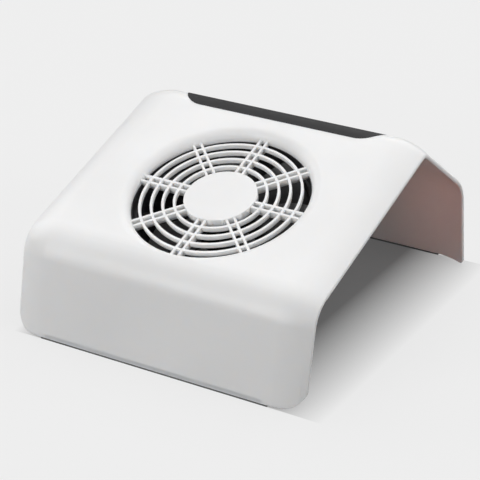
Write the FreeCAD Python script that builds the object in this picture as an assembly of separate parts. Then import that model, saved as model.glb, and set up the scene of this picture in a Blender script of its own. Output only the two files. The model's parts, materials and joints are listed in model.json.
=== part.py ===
import FreeCAD, Part
import math
import os

from FreeCAD import Placement, Rotation, Vector

# Nail dust collector: a white moulded arch that a hand rests on, with a fan under a round
# grille in its sloping top.  Millimetres, +Z up, X along the tunnel under the arch, the
# hand-rest leg at -Y, the leg with the controls at +Y, origin on the table at the centre.

# ---- arch --------------------------------------------------------------------------------------
LENGTH = 230.0            # along the tunnel
DEPTH = 270.0             # over the feet of the two legs
WALL = 2.8
NEAR_SPLAY = 10.4         # degrees from upright
FAR_SPLAY = 9.0
SHOULDER_Z = 73.2         # virtual corner of hand-rest leg and ramp
RAMP_SLOPE = 18.6
PEAK_Y = 44.8             # virtual corner of ramp and rear facet
FAR_SHOULDER_Z = 73.8     # virtual corner of rear facet and far leg
SHOULDER_R = 30.0
PEAK_R = 18.0
FAR_SHOULDER_R = 38.0
LEG_BOTTOM_Z = 1.5        # the shell stands on foot strips, just clear of the table
NEAR_CORNER_R = 14.0
FAR_CORNER_R = 4.0

# rolled ends of the arch
ROLL_START = 91.5         # where the flat middle ends
ROLL_R = 50.0
ROLL_CREASE = 4.0         # degrees the surface turns at once where the roll starts
RIM_ROUND = 1.0           # length of the rounded rim

# foot strips
STRIP_W = 1.6
STRIP_TONGUE = 2.0
STRIP_GROOVE_DEPTH = 2.2
FOOT_STRIP_LENGTH = 181.0 # within the flat middle of the legs

# ---- intake grille, in the frame of the ramp (see on_ramp) -------------------------------------
GRILLE_Y = -44.0          # where the fan's axis leaves the ramp
RING_PITCH = 8.15
RING_COUNT = 4
FIRST_RING = 4            # radius of the first ring, in pitches
RING_W = 1.8
RING_H = 3.4
BAR_W = 1.7
BAR_H = 5.1
BAR_OFFSET = 2.75         # each bar of a pair from the radial line
BAR_PAIRS = 8
GRILLE_TOP = -5.3
DISC_R = 26.0
DISC_RISE = 0.5           # of the disc over the rings and bars
DISC_T = 2.7
DISC_SKIRT_W = 2.0
THROAT_R = 63.5
BELL_R = 8.0
BELL_EDGE_R = 76.0
BELL_EDGE_DEPTH = 6.0
SKIRT_W = 2.6
SKIRT_END = -8.4
BOSS_END = -16.0
BOSS_AT = 56.0            # fan bosses, from the axis along X and along the slope
BOSS_R = 4.2
SCREW_R = 1.5
PILOT_R = 1.25
PILOT_END = -5.0          # bottom of the pilot holes, under the ramp's outer face
SCREW_HEAD = (2.8, 1.8)   # radius and height of a pan head
SCREW_PLAY = 0.15
FAN_SCREW_TIP = -6.0

# ---- dark inlay strip over the peak ------------------------------------------------------------
INLAY_HALF = 82.0
INLAY_T = 1.3
TAPE_T = 0.3
INLAY_RAMP_SIDE = 12.4    # from the virtual peak down the ramp
INLAY_FACET_SIDE = 40.0   # from the virtual peak down the rear facet
INLAY_CORNER_R = 19.0
INLAY_GAP = 0.15

# ---- fan housing -------------------------------------------------------------------------------
DUCT_R = 61.0
DUCT_W = 2.4
INLET_R = 63.0            # black inlet ring that continues the bell mouth
FLANGE_T = 3.0
DUCT_END = -50.0
COLLAR_BEAD_R = 65.0
COLLAR_BEAD_H = 3.0
EAR_R = 6.5
SPOKE_COUNT = 5
SPOKE_W = 4.0
BASE_R = 21.5
BASE_TOP = -36.0
BASE_T = 3.0
LEAD_NOTCH_W = 4.0
FLANGE_RIM = 2.0          # flange's reach beyond the bell's skirt
INLET_GAP = 0.2           # between the inlet ring and the bell's skirt

# ---- impeller and motor ------------------------------------------------------------------------
BLADES = 7
BLADE_TIP_R = 59.4
BLADE_TOP = -12.4
BLADE_BOTTOM = -33.0
BLADE_T = 1.5
HUB_R = 21.0
HUB_TOP = -12.0
HUB_BOTTOM = -32.5
CAN_R = 19.2
CAN_T = 1.2
CAN_TOP = -14.0
CAN_BOTTOM = -31.0
MAGNET_T = 1.8
CORE_R = 15.6
CORE_TOP = -18.0
CORE_H = 8.0
TEETH = 9
TUBE_R = 4.8
TUBE_BORE_R = 4.0
SHAFT_R = 1.5
SHAFT_CLEARANCE = 0.02
BEARING_H = 4.0
SHIELD = (2.3, 3.4)       # inner and outer radius of a bearing's shield
SHIELD_DEPTH = 0.2
ROOT_BLADE = (21.0, 40.0) # chord and pitch of the blade near the hub
TIP_BLADE = (44.0, 24.0)
SHAFT_BOSS_R = 3.2
CLIP_R = 3.0
CLIP_GROOVE_R = 1.1
CORE_RING_W = 2.6
TOOTH_HALF = 1.0
TOOTH_TIP_T = 1.4
SLOT_HALF = 0.7
COIL_HALF = 2.1
COIL_H = 1.1              # coil over the core's faces
MOTOR_BOARD_R = 16.5
MOTOR_BOARD_T = 1.2

# ---- controls and inlet, in the frame of the far leg (see on_leg) ------------------------------
LEG_FRAME_Z = 43.0        # height where the controls' row crosses the outer face
SWITCH_X = -68.0
KNOB_X = -34.0
JACK_X = -2.0
SWITCH_BODY = (13.0, 19.2)
SWITCH_BEZEL = (15.4, 21.4, 1.8)
SWITCH_DEPTH = 15.0
ROCKER = (9.6, 14.2)
ROCKER_ROOM = (0.5, 1.2)  # clearance round the rocker at its sides and at its ends
ROCKER_TILT = 8.0         # rocker rests this far to the off side
ROCKER_PIN_Z = -2.5
ROCKER_PIN_R = 1.2
ROCKER_TOPS = (2.2, 3.6)  # over the leg's face, at the middle and at the ends
ROCKER_BOTTOMS = (-5.4, -3.2)
CONTROL_FIT = 0.1         # hole in the leg round a control
KNOB_R = 8.2
KNOB_TOP = 5.8
KNOB_BOTTOM = 0.5
KNURLS = 24
KNURL_R = 0.55
POT_R = 8.2
POT_BACK = -12.4
BUSH_R = 3.5
POT_SHAFT_R = 2.4
JACK_R = 5.4
JACK_BORE_R = 2.85
JACK_BORE_DEPTH = 9.5
JACK_PIN_R = 1.0
JACK_FLANGE = (1.8, 1.2)  # reach beyond the barrel, and thickness
BOARD = (40.0, 38.0, 1.6)
BOARD_Y = -12.0           # upper edge of the board
COVER_X = (-88.0, 16.0)
COVER_Y = (-14.5, 31.0)   # its top stays below the far shoulder's round
COVER_INNER = -28.0
COVER_WALL = 2.0
COVER_FOOT = 7.8          # cover screws and bosses, from the outer face of the leg
COVER_BOSS_R = 3.0
COVER_EAR_R = 4.2
COVER_EAR_T = 2.2
COVER_PILOT_END = -1.2
COVER_SCREW_TIP = -1.6
LEAD_X = -12.0            # where the fan lead leaves the cover
WIRE_R = 0.8
LEAD_R = 1.2

# ---- dust bag ----------------------------------------------------------------------------------
BAG_CLEARANCE = 0.3
BAG_NECK_R = 67.0
BAG_FLOOR_Z = 6.0
BAG_BELLY = (-28.0, 29.0) # Y and Z of its middle
BAG_BASE_Y = -32.0
BAG_BASE_HALVES = (43.0, 48.0)
ELASTIC_R = 1.3


def tan(degrees):
    return math.tan(math.radians(degrees))


def sin(degrees):
    return math.sin(math.radians(degrees))


def cos(degrees):
    return math.cos(math.radians(degrees))


def fused(shapes):
    """One solid from shapes that share faces or overlap."""
    return shapes[0].fuse(shapes[1:]).removeSplitter()


def box(x0, x1, y0, y1, z0, z1):
    return Part.makeBox(x1 - x0, y1 - y0, z1 - z0, Vector(x0, y0, z0))


def rod(r, z0, z1, x=0.0, y=0.0):
    """Cylinder along local Z between two heights."""
    return Part.makeCylinder(r, z1 - z0, Vector(x, y, z0), Vector(0, 0, 1))


def tube(r_in, r_out, z0, z1, x=0.0, y=0.0):
    return rod(r_out, z0, z1, x, y).cut(rod(r_in, z0 - 1, z1 + 1, x, y))


def line(a, b):
    return Part.LineSegment(a, b).toShape()


def arc(a, via, b):
    return Part.Arc(a, via, b).toShape()


def polygon(points):
    return Part.Face(Part.makePolygon(points + [points[0]]))


def moved(shape, placement):
    copy = shape.copy()
    copy.Placement = placement.multiply(copy.Placement)
    return copy


# ---- the arch's profile in the Y-Z plane -------------------------------------------------------

def profile_corners():
    near_foot = (-DEPTH / 2, 0.0)
    shoulder = (near_foot[0] + SHOULDER_Z * tan(NEAR_SPLAY), SHOULDER_Z)
    peak = (PEAK_Y, SHOULDER_Z + (PEAK_Y - shoulder[0]) * tan(RAMP_SLOPE))
    far_foot = (DEPTH / 2, 0.0)
    far_shoulder = (far_foot[0] - FAR_SHOULDER_Z * tan(FAR_SPLAY), FAR_SHOULDER_Z)
    return [Vector(0, y, z) for y, z in (near_foot, shoulder, peak, far_shoulder, far_foot)]


CORNERS = profile_corners()
CORNER_RADII = (SHOULDER_R, PEAK_R, FAR_SHOULDER_R)


def heading(i):
    """Angle in degrees of the profile's straight number i, seen along +X."""
    run = CORNERS[i + 1].sub(CORNERS[i])
    return math.degrees(math.atan2(run.z, run.y))


def tangent_length(i):
    """From corner number i to where its round starts."""
    return CORNER_RADII[i - 1] * tan((heading(i - 1) - heading(i)) / 2)


def along(angle):
    return Vector(0, cos(angle), sin(angle))


def outward(angle):
    return Vector(0, -sin(angle), cos(angle))


def sweep_straight(section, i, start, length):
    """Section (in the local X-Z plane) pushed along straight number i."""
    solid = section.extrude(Vector(0, length, 0))
    return moved(solid, Placement(start, Rotation(Vector(1, 0, 0), heading(i))))


def sweep_corner(section, i):
    """Section turned round corner number i."""
    start = CORNERS[i].sub(along(heading(i - 1)).multiply(tangent_length(i)))
    centre = start.sub(outward(heading(i - 1)).multiply(CORNER_RADII[i - 1]))
    face = moved(section, Placement(start, Rotation(Vector(1, 0, 0), heading(i - 1))))
    return face.revolve(centre, Vector(-1, 0, 0), heading(i - 1) - heading(i))


def sweep_arch(section):
    """Section swept along the whole profile, from foot to foot."""
    pieces = []
    for i in range(4):
        before = tangent_length(i) if i > 0 else 0.0
        after = tangent_length(i + 1) if i < 3 else 0.0
        run = CORNERS[i + 1].sub(CORNERS[i]).Length
        start = CORNERS[i].add(along(heading(i)).multiply(before))
        pieces.append(sweep_straight(section, i, start, run - before - after))
    for i in (1, 2, 3):
        pieces.append(sweep_corner(section, i))
    return fused(pieces)


def filled_profile(half_length):
    """Solid bounded by the outer face of the arch's flat middle and the table."""
    edges = []
    last = CORNERS[0]
    for i in (1, 2, 3):
        t = tangent_length(i)
        start = CORNERS[i].sub(along(heading(i - 1)).multiply(t))
        end = CORNERS[i].add(along(heading(i)).multiply(t))
        centre = start.sub(outward(heading(i - 1)).multiply(CORNER_RADII[i - 1]))
        middle = centre.add(outward((heading(i - 1) + heading(i)) / 2).multiply(CORNER_RADII[i - 1]))
        edges.append(line(last, start))
        edges.append(arc(start, middle, end))
        last = end
    edges.append(line(last, CORNERS[4]))
    edges.append(line(CORNERS[4], CORNERS[0]))
    face = Part.Face(Part.Wire(edges))
    face.translate(Vector(-half_length, 0, 0))
    return face.extrude(Vector(2 * half_length, 0, 0))


def roll_point(angle, depth):
    """Point of the rolled end, at a surface angle and a depth under the outer face."""
    x = ROLL_START + ROLL_R * (sin(angle) - sin(ROLL_CREASE)) - depth * sin(angle)
    z = -ROLL_R * (cos(ROLL_CREASE) - cos(angle)) - depth * cos(angle)
    return Vector(x, 0, z)


def wall_section():
    """The wall cut along X: flat middle, rolled ends, rounded rims."""
    rim_x = LENGTH / 2
    outer_end = math.degrees(math.asin(sin(ROLL_CREASE) + (rim_x - RIM_ROUND - ROLL_START) / ROLL_R))
    inner_r = ROLL_R - WALL
    reach = rim_x - RIM_ROUND - ROLL_START + ROLL_R * sin(ROLL_CREASE)
    inner_end = math.degrees(math.asin(reach / inner_r))
    outer = [roll_point(a, 0) for a in (ROLL_CREASE, (ROLL_CREASE + outer_end) / 2, outer_end)]
    inner = [roll_point(a, WALL) for a in (ROLL_CREASE, (ROLL_CREASE + inner_end) / 2, inner_end)]
    rim = Vector(rim_x, 0, (outer[2].z + inner[2].z) / 2)
    flat_under = Vector(inner[0].x, 0, -WALL)

    def mirrored(p):
        return Vector(-p.x, 0, p.z)

    edges = [line(mirrored(outer[0]), outer[0]), arc(*outer), arc(outer[2], rim, inner[2])]
    edges.append(arc(inner[2], inner[1], inner[0]))
    edges.append(line(inner[0], flat_under))
    edges.append(line(flat_under, mirrored(flat_under)))
    edges.append(line(mirrored(flat_under), mirrored(inner[0])))
    edges.append(arc(mirrored(inner[0]), mirrored(inner[1]), mirrored(inner[2])))
    edges.append(arc(mirrored(inner[2]), mirrored(rim), mirrored(outer[2])))
    edges.append(arc(mirrored(outer[2]), mirrored(outer[1]), mirrored(outer[0])))
    return Part.Face(Part.Wire(edges))


# ---- frames of the ramp and of the far leg -----------------------------------------------------

GRILLE_POINT = Vector(0, GRILLE_Y, SHOULDER_Z + (GRILLE_Y - CORNERS[1].y) * tan(RAMP_SLOPE))
RAMP = Placement(GRILLE_POINT, Rotation(Vector(1, 0, 0), RAMP_SLOPE))
LEG_POINT = Vector(0, DEPTH / 2 - LEG_FRAME_Z * tan(FAR_SPLAY), LEG_FRAME_Z)
LEG = Placement(LEG_POINT, Rotation(Vector(1, 0, 0), heading(3)))


def on_ramp(shape):
    """Fan frame: Z is the fan's axis, out of the ramp; X is the arch's X; Y climbs the ramp."""
    return moved(shape, RAMP)


def on_leg(shape):
    """Leg frame: Z points out of the far leg; X is the arch's X; Y runs down the leg."""
    return moved(shape, LEG)


# ---- top shell ---------------------------------------------------------------------------------

def bell_mouth():
    """Rounded intake mouth with a skirt below it, trimmed to the outer face of the arch."""
    skirt_r = THROAT_R + SKIRT_W
    top = 8.0
    points = [Vector(THROAT_R, 0, SKIRT_END), Vector(THROAT_R, 0, -BELL_R),
              Vector(THROAT_R + BELL_R, 0, 0), Vector(THROAT_R + BELL_R, 0, top),
              Vector(BELL_EDGE_R, 0, top), Vector(BELL_EDGE_R, 0, -BELL_EDGE_DEPTH),
              Vector(skirt_r + 2.0, 0, -BELL_EDGE_DEPTH), Vector(skirt_r, 0, SKIRT_END)]
    bend = Vector(THROAT_R + BELL_R * (1 - cos(45)), 0, -BELL_R * (1 - sin(45)))
    edges = [line(points[0], points[1]), arc(points[1], bend, points[2])]
    for a, b in zip(points[2:], points[3:] + points[:1]):
        edges.append(line(a, b))
    ring = Part.Face(Part.Wire(edges)).revolve(Vector(0, 0, 0), Vector(0, 0, 1), 360)
    return on_ramp(ring).common(filled_profile(BELL_EDGE_R + 2))


def grille():
    """Centre disc, rings and pairs of deeper bars; the bars run on into the bell mouth."""
    bottom = GRILLE_TOP - BAR_H
    disc_top = GRILLE_TOP + DISC_RISE
    parts = [rod(DISC_R, disc_top - DISC_T, disc_top)]
    parts.append(tube(DISC_R - DISC_SKIRT_W, DISC_R, bottom, disc_top - DISC_T))
    for n in range(RING_COUNT):
        r = (FIRST_RING + n) * RING_PITCH
        parts.append(tube(r - RING_W / 2, r + RING_W / 2, GRILLE_TOP - RING_H, GRILLE_TOP))
    bar_end = THROAT_R + 4.0
    foot_cut = tube(INLET_R - 0.4, bar_end + 2.0, bottom - 1.0, SKIRT_END)
    for n in range(BAR_PAIRS):
        for side in (-1, 1):
            middle = side * BAR_OFFSET
            bar = box(DISC_R - 1.0, bar_end, middle - BAR_W / 2, middle + BAR_W / 2, bottom, GRILLE_TOP)
            bar.rotate(Vector(0, 0, 0), Vector(0, 0, 1), n * 360.0 / BAR_PAIRS)
            parts.append(bar.cut(foot_cut))
    return on_ramp(fused(parts))


def fan_screw_places():
    return [(sx * BOSS_AT, sy * BOSS_AT) for sx in (-1, 1) for sy in (-1, 1)]


def cover_screw_places():
    x0, x1 = COVER_X
    y0, y1 = COVER_Y
    return [(x0 - 5.0, y0 + 6.0), (x0 - 5.0, y1 - 6.0), (x1 + 5.0, y0 + 6.0), (x1 + 5.0, y1 - 16.0)]


def inlay_prism(gap):
    """Outline of the inlay, pushed through the peak along its middle direction."""
    bisector = (heading(1) + heading(2)) / 2
    lean = (heading(1) - heading(2)) / 2
    y0 = -(INLAY_RAMP_SIDE + gap) * cos(lean)
    y1 = (INLAY_FACET_SIDE + gap) * cos(lean)
    half = INLAY_HALF + gap
    block = box(-half, half, y0, y1, -60, 20)
    upright = [e for e in block.Edges if abs(e.Vertexes[0].Z - e.Vertexes[1].Z) > 1]
    block = block.makeFillet(INLAY_CORNER_R, upright)
    return moved(block, Placement(CORNERS[2], Rotation(Vector(1, 0, 0), bisector)))


def peak_band(top, bottom):
    """Layer between two depths under the outer face, round the peak."""
    half = INLAY_HALF + 6.0
    section = polygon([Vector(-half, 0, -top), Vector(half, 0, -top),
                       Vector(half, 0, -bottom), Vector(-half, 0, -bottom)])
    t = tangent_length(2)
    ramp_run = INLAY_RAMP_SIDE + 4.0
    facet_run = INLAY_FACET_SIDE + 4.0
    ramp_start = CORNERS[2].sub(along(heading(1)).multiply(t + ramp_run))
    facet_start = CORNERS[2].add(along(heading(2)).multiply(t))
    parts = [sweep_straight(section, 1, ramp_start, ramp_run), sweep_corner(section, 2),
             sweep_straight(section, 2, facet_start, facet_run)]
    return fused(parts)


def leg_corner_cutter(side, y0, y1, r):
    """What is cut off a leg's bottom corner to round it."""
    x = LENGTH / 2 - r
    z = LEG_BOTTOM_Z + r
    block = box(x, LENGTH / 2 + 5, y0, y1, -2, z)
    keep = Part.makeCylinder(r, y1 - y0 + 2, Vector(x, y0 - 1, z), Vector(0, 1, 0))
    cutter = block.cut(keep)
    return cutter if side > 0 else cutter.mirror(Vector(0, 0, 0), Vector(1, 0, 0))


def foot_groove(i, half_length, gap):
    """Groove (gap > 0) or tongue and strip (gap = 0) centred in a leg's bottom edge."""
    splay = NEAR_SPLAY if i == 0 else -FAR_SPLAY
    foot_y = CORNERS[0 if i == 0 else 4].y
    inward = 1 if i == 0 else -1
    centre_y = foot_y + LEG_BOTTOM_Z * tan(splay) + inward * WALL / cos(splay) / 2
    depth = STRIP_GROOVE_DEPTH if gap else STRIP_TONGUE
    half_w = STRIP_W / 2 + gap - (0.0 if gap else 0.3)
    return box(-half_length - gap, half_length + gap, centre_y - half_w, centre_y + half_w,
               LEG_BOTTOM_Z - 0.01 if gap else LEG_BOTTOM_Z, LEG_BOTTOM_Z + depth), centre_y


def top_shell():
    shell = sweep_arch(wall_section())
    shell = shell.cut(box(-200, 200, -200, 200, -30, LEG_BOTTOM_Z))
    for side in (-1, 1):
        shell = shell.cut(leg_corner_cutter(side, -150, -90, NEAR_CORNER_R))
        shell = shell.cut(leg_corner_cutter(side, 90, 150, FAR_CORNER_R))
    for i in (0, 3):
        shell = shell.cut(foot_groove(i, FOOT_STRIP_LENGTH / 2 - 4.0, 0.05)[0])
    shell = shell.cut(on_ramp(rod(BELL_EDGE_R - 0.5, -40, 12)))
    bosses = [on_ramp(rod(BOSS_R, BOSS_END, -WALL / 2, x, y)) for x, y in fan_screw_places()]
    bosses += [on_leg(rod(COVER_BOSS_R, -COVER_FOOT, -WALL / 2, x, y))
               for x, y in cover_screw_places()]
    shell = shell.fuse([bell_mouth(), grille()] + bosses)
    cuts = [on_ramp(rod(PILOT_R, BOSS_END - 1, PILOT_END, x, y)) for x, y in fan_screw_places()]
    cuts += [on_leg(rod(PILOT_R, -COVER_FOOT - 1, COVER_PILOT_END, x, y))
             for x, y in cover_screw_places()]
    pocket = peak_band(-2.0, INLAY_T + TAPE_T).common(inlay_prism(INLAY_GAP))
    cuts.append(pocket)
    half_x, half_y = (side / 2 + CONTROL_FIT for side in SWITCH_BODY)
    cuts.append(on_leg(box(SWITCH_X - half_x, SWITCH_X + half_x, -half_y, half_y, -6, 3)))
    cuts.append(on_leg(rod(BUSH_R + CONTROL_FIT, -6, 3, KNOB_X)))
    cuts.append(on_leg(rod(JACK_R + CONTROL_FIT, -6, 3, JACK_X)))
    return shell.cut(cuts).removeSplitter()


def foot_strip(i):
    """Rubber strip under a leg, with a tongue in the leg's groove."""
    half = FOOT_STRIP_LENGTH / 2
    tongue, centre_y = foot_groove(i, half - 4.0, 0.0)
    strip = box(-half, half, centre_y - STRIP_W / 2, centre_y + STRIP_W / 2, 0, LEG_BOTTOM_Z)
    return fused([strip, tongue])


def inlay_strip():
    return peak_band(0.0, INLAY_T).common(inlay_prism(0.0))


def inlay_tape():
    return peak_band(INLAY_T, INLAY_T + TAPE_T).common(inlay_prism(-1.0))


# ---- fan housing -------------------------------------------------------------------------------

def spoke(angle):
    arm = box(BASE_R - 1.0, DUCT_R + 0.5, -SPOKE_W / 2, SPOKE_W / 2, BASE_TOP - BASE_T - 2.0, BASE_TOP)
    arm.rotate(Vector(0, 0, 0), Vector(0, 0, 1), angle)
    return arm


def fan_housing():
    """Duct with an inlet ring, a flange and four ears, the motor's spider, and the bag's collar."""
    flange_top = BOSS_END
    outer = DUCT_R + DUCT_W
    skirt_r = THROAT_R + SKIRT_W
    parts = [tube(DUCT_R, outer, DUCT_END, flange_top)]
    parts.append(tube(DUCT_R, skirt_r + FLANGE_RIM, flange_top - FLANGE_T, flange_top))
    parts.append(tube(INLET_R, skirt_r, flange_top, SKIRT_END - INLET_GAP))
    for x, y in fan_screw_places():
        parts.append(rod(EAR_R, flange_top - FLANGE_T, flange_top, x, y))
        angle = math.degrees(math.atan2(y, x))
        web = box(outer - 0.5, math.hypot(x, y), -EAR_R, EAR_R, flange_top - FLANGE_T, flange_top)
        web.rotate(Vector(0, 0, 0), Vector(0, 0, 1), angle)
        parts.append(web)
    parts.append(tube(DUCT_R, COLLAR_BEAD_R, DUCT_END, DUCT_END + COLLAR_BEAD_H))
    parts.append(rod(BASE_R, BASE_TOP - BASE_T, BASE_TOP))
    parts += [spoke(90 + n * 360.0 / SPOKE_COUNT) for n in range(SPOKE_COUNT)]
    body = fused(parts)
    holes = [rod(SCREW_R + SCREW_PLAY, -40, -10, x, y) for x, y in fan_screw_places()]
    holes.append(rod(TUBE_R, BASE_TOP - 2.0, BASE_TOP + 1))
    notch_top = BASE_TOP + 3.0
    half_notch = LEAD_NOTCH_W / 2
    holes.append(box(-half_notch, half_notch, DUCT_R - 4, outer + 1, BASE_TOP, notch_top))
    return on_ramp(body.cut(holes))


def pan_screw(x, y, seat, tip):
    """Screw along local Z: head below the seat, threaded end up to the tip."""
    head_r, head_h = SCREW_HEAD
    head = rod(head_r, seat - head_h, seat, x, y)
    recess = rod(head_r * 0.4, seat - head_h - 1, seat - head_h + 0.8, x, y)
    return fused([head, rod(PILOT_R, seat, tip, x, y)]).cut(recess)


def fan_screws():
    seat = BOSS_END - FLANGE_T
    return Part.makeCompound([on_ramp(pan_screw(x, y, seat, FAN_SCREW_TIP))
                              for x, y in fan_screw_places()])


# ---- impeller and motor ------------------------------------------------------------------------

def blade_section(r, chord, pitch):
    """Cambered blade section square to the radius, as a closed wire."""
    camber = chord * 0.08
    middle = (BLADE_TOP + BLADE_BOTTOM) / 2

    def at(t, h):
        y = t * cos(pitch) - h * sin(pitch)
        z = middle + t * sin(pitch) + h * cos(pitch)
        return Vector(r, y, z)

    half = chord / 2
    top = arc(at(-half, 0), at(0, camber + BLADE_T / 2), at(half, 0.3))
    nose = line(at(half, 0.3), at(half, -0.5))
    under = arc(at(half, -0.5), at(0, camber - BLADE_T / 2), at(-half, -0.8))
    tail = line(at(-half, -0.8), at(-half, 0))
    return Part.Wire([top, nose, under, tail])


def impeller():
    """Cup-shaped hub with cambered blades."""
    blade = Part.makeLoft([blade_section(HUB_R - 2.0, *ROOT_BLADE),
                           blade_section(BLADE_TIP_R + 4.0, *TIP_BLADE)], True, True)
    blade = blade.common(tube(HUB_R - 0.6, BLADE_TIP_R, BLADE_BOTTOM, BLADE_TOP))
    parts = [tube(CAN_R, HUB_R, HUB_BOTTOM, HUB_TOP), rod(HUB_R, CAN_TOP, HUB_TOP)]
    for n in range(BLADES):
        copy = blade.copy()
        copy.rotate(Vector(0, 0, 0), Vector(0, 0, 1), n * 360.0 / BLADES)
        parts.append(copy)
    hub = fused(parts[:2])
    top_edge = [e for e in hub.Edges
                if abs(e.BoundBox.ZMin - HUB_TOP) < 1e-6 and e.BoundBox.XMax > HUB_R - 0.1]
    hub = hub.makeFillet(1.2, top_edge)
    return on_ramp(fused([hub] + parts[2:]))


def rotor_can():
    """Steel cup pressed in the hub, with a boss for the shaft."""
    cup = rod(CAN_R, CAN_BOTTOM, CAN_TOP).cut(rod(CAN_R - CAN_T, CAN_BOTTOM - 1, CAN_TOP - CAN_T))
    boss = rod(SHAFT_BOSS_R, CAN_TOP - 3.0, CAN_TOP - CAN_T)
    return on_ramp(fused([cup, boss]).cut(rod(SHAFT_R, CAN_BOTTOM, CAN_TOP + 1)))


def rotor_magnet():
    outer = CAN_R - CAN_T
    return on_ramp(tube(outer - MAGNET_T, outer, CAN_BOTTOM + 1.0, CAN_TOP - CAN_T - 1.0))


def shaft_end():
    return BASE_TOP - 1.6


def motor_shaft():
    shaft = rod(SHAFT_R, shaft_end(), CAN_TOP)
    groove = tube(CLIP_GROOVE_R, SHAFT_R + 1, shaft_end() + 0.5, shaft_end() + 1.1)
    return on_ramp(shaft.cut(groove))


def shaft_clip():
    z = shaft_end() + 0.5
    ring = tube(CLIP_GROOVE_R, CLIP_R, z + 0.05, z + 0.55)
    return on_ramp(ring.cut(box(0, 4, -0.9, 0.9, z - 1, z + 2)))


def bearing_tube():
    return on_ramp(tube(TUBE_BORE_R, TUBE_R, BASE_TOP - 2.0, CORE_TOP + 0.6))


def bearing(top):
    """Shielded ball bearing: inner and outer race with a shield between."""
    bore = SHAFT_R + SHAFT_CLEARANCE
    body = tube(bore, TUBE_BORE_R, top - BEARING_H, top)
    face = tube(*SHIELD, top - SHIELD_DEPTH, top + 1)
    back = tube(*SHIELD, top - BEARING_H - 1, top - BEARING_H + SHIELD_DEPTH)
    return on_ramp(body.cut(face).cut(back))


def tooth_angles():
    return [n * 360.0 / TEETH for n in range(TEETH)]


def stator_core():
    """Laminated core: a ring, and teeth with wide tips."""
    bottom = CORE_TOP - CORE_H
    parts = [tube(TUBE_R, TUBE_R + CORE_RING_W, bottom, CORE_TOP)]
    tips = tube(CORE_R - TOOTH_TIP_T, CORE_R, bottom, CORE_TOP)
    for angle in tooth_angles():
        neck = box(TUBE_R + 1.5, CORE_R - 0.7, -TOOTH_HALF, TOOTH_HALF, bottom, CORE_TOP)
        gap = box(CORE_R - 4.0, CORE_R + 1.0, -SLOT_HALF, SLOT_HALF, bottom - 1, CORE_TOP + 1)
        neck.rotate(Vector(0, 0, 0), Vector(0, 0, 1), angle)
        gap.rotate(Vector(0, 0, 0), Vector(0, 0, 1), angle + 180.0 / TEETH)
        parts.append(neck)
        tips = tips.cut(gap)
    return on_ramp(fused(parts + tips.Solids))


def stator_windings():
    """One coil round each tooth."""
    bottom = CORE_TOP - CORE_H
    coils = []
    for angle in tooth_angles():
        coil = box(TUBE_R + 2.9, CORE_R - 1.6, -COIL_HALF, COIL_HALF,
                   bottom - COIL_H, CORE_TOP + COIL_H)
        room = TOOTH_HALF + 0.05
        coil = coil.cut(box(0, 30, -room, room, bottom - 0.05, CORE_TOP + 0.05))
        coil.rotate(Vector(0, 0, 0), Vector(0, 0, 1), angle)
        far_half = 40 * tan(180.0 / TEETH) - 0.3
        wedge = polygon([Vector(0, 0, bottom - 3), Vector(40, far_half, bottom - 3),
                         Vector(40, -far_half, bottom - 3)])
        wedge = wedge.extrude(Vector(0, 0, CORE_H + 6))
        wedge.rotate(Vector(0, 0, 0), Vector(0, 0, 1), angle)
        coils.append(on_ramp(coil.common(wedge)))
    return Part.makeCompound(coils)


def motor_board():
    """Round driver board between the windings and the motor's base, with a few parts."""
    top = BASE_TOP + 2.6
    board = tube(TUBE_R + 0.1, MOTOR_BOARD_R, top - MOTOR_BOARD_T, top)
    chip = box(8.0, 12.0, -3.0, 3.0, top, top + 1.2)
    sensor = box(-13.0, -10.0, -2.0, 2.0, top, top + 1.0)
    posts = [rod(1.4, BASE_TOP, top - MOTOR_BOARD_T, 12.0 * cos(a), 12.0 * sin(a))
             for a in (30, 150, 270)]
    return on_ramp(fused([board, chip, sensor] + posts))


# ---- controls, inlet and electronics -----------------------------------------------------------

def switch_body():
    half_x, half_y = (side / 2 for side in SWITCH_BODY)
    bezel_x, bezel_y, bezel_t = SWITCH_BEZEL
    body = box(-half_x, half_x, -half_y, half_y, -SWITCH_DEPTH, 0)
    bezel = box(-bezel_x / 2, bezel_x / 2, -bezel_y / 2, bezel_y / 2, 0, bezel_t)
    bezel = bezel.makeFillet(1.0, [e for e in bezel.Edges if e.BoundBox.ZMin > bezel_t - 0.01])
    well_x, well_y = (side / 2 + room for side, room in zip(ROCKER, ROCKER_ROOM))
    well = box(-well_x, well_x, -well_y, well_y, -9.0, 3)
    socket_start = Vector(-well_x - 1.0, 0, ROCKER_PIN_Z)
    sockets = Part.makeCylinder(ROCKER_PIN_R + 0.05, 2 * well_x + 2.0, socket_start, Vector(1, 0, 0))
    shape = fused([body, bezel]).cut(well).cut(sockets)
    return on_leg(shape.translated(Vector(SWITCH_X, 0, 0)))


def rocker():
    """See-saw cap on two stub pins, resting on its off side."""
    half_x, half_y = (side / 2 for side in ROCKER)
    top_mid, top_end = ROCKER_TOPS
    low_mid, low_end = ROCKER_BOTTOMS
    side = polygon([Vector(-half_x, -half_y + 0.3, low_end), Vector(-half_x, -half_y, top_end),
                    Vector(-half_x, 0, top_mid), Vector(-half_x, half_y, top_end),
                    Vector(-half_x, half_y - 0.3, low_end), Vector(-half_x, 0, low_mid)])
    cap = side.extrude(Vector(2 * half_x, 0, 0))
    pin_start = Vector(-half_x - 1.2, 0, ROCKER_PIN_Z)
    pins = Part.makeCylinder(ROCKER_PIN_R, 2 * half_x + 2.4, pin_start, Vector(1, 0, 0))
    shape = fused([cap, pins])
    shape.rotate(Vector(0, 0, ROCKER_PIN_Z), Vector(1, 0, 0), ROCKER_TILT)
    return on_leg(shape.translated(Vector(SWITCH_X, 0, 0)))


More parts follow.
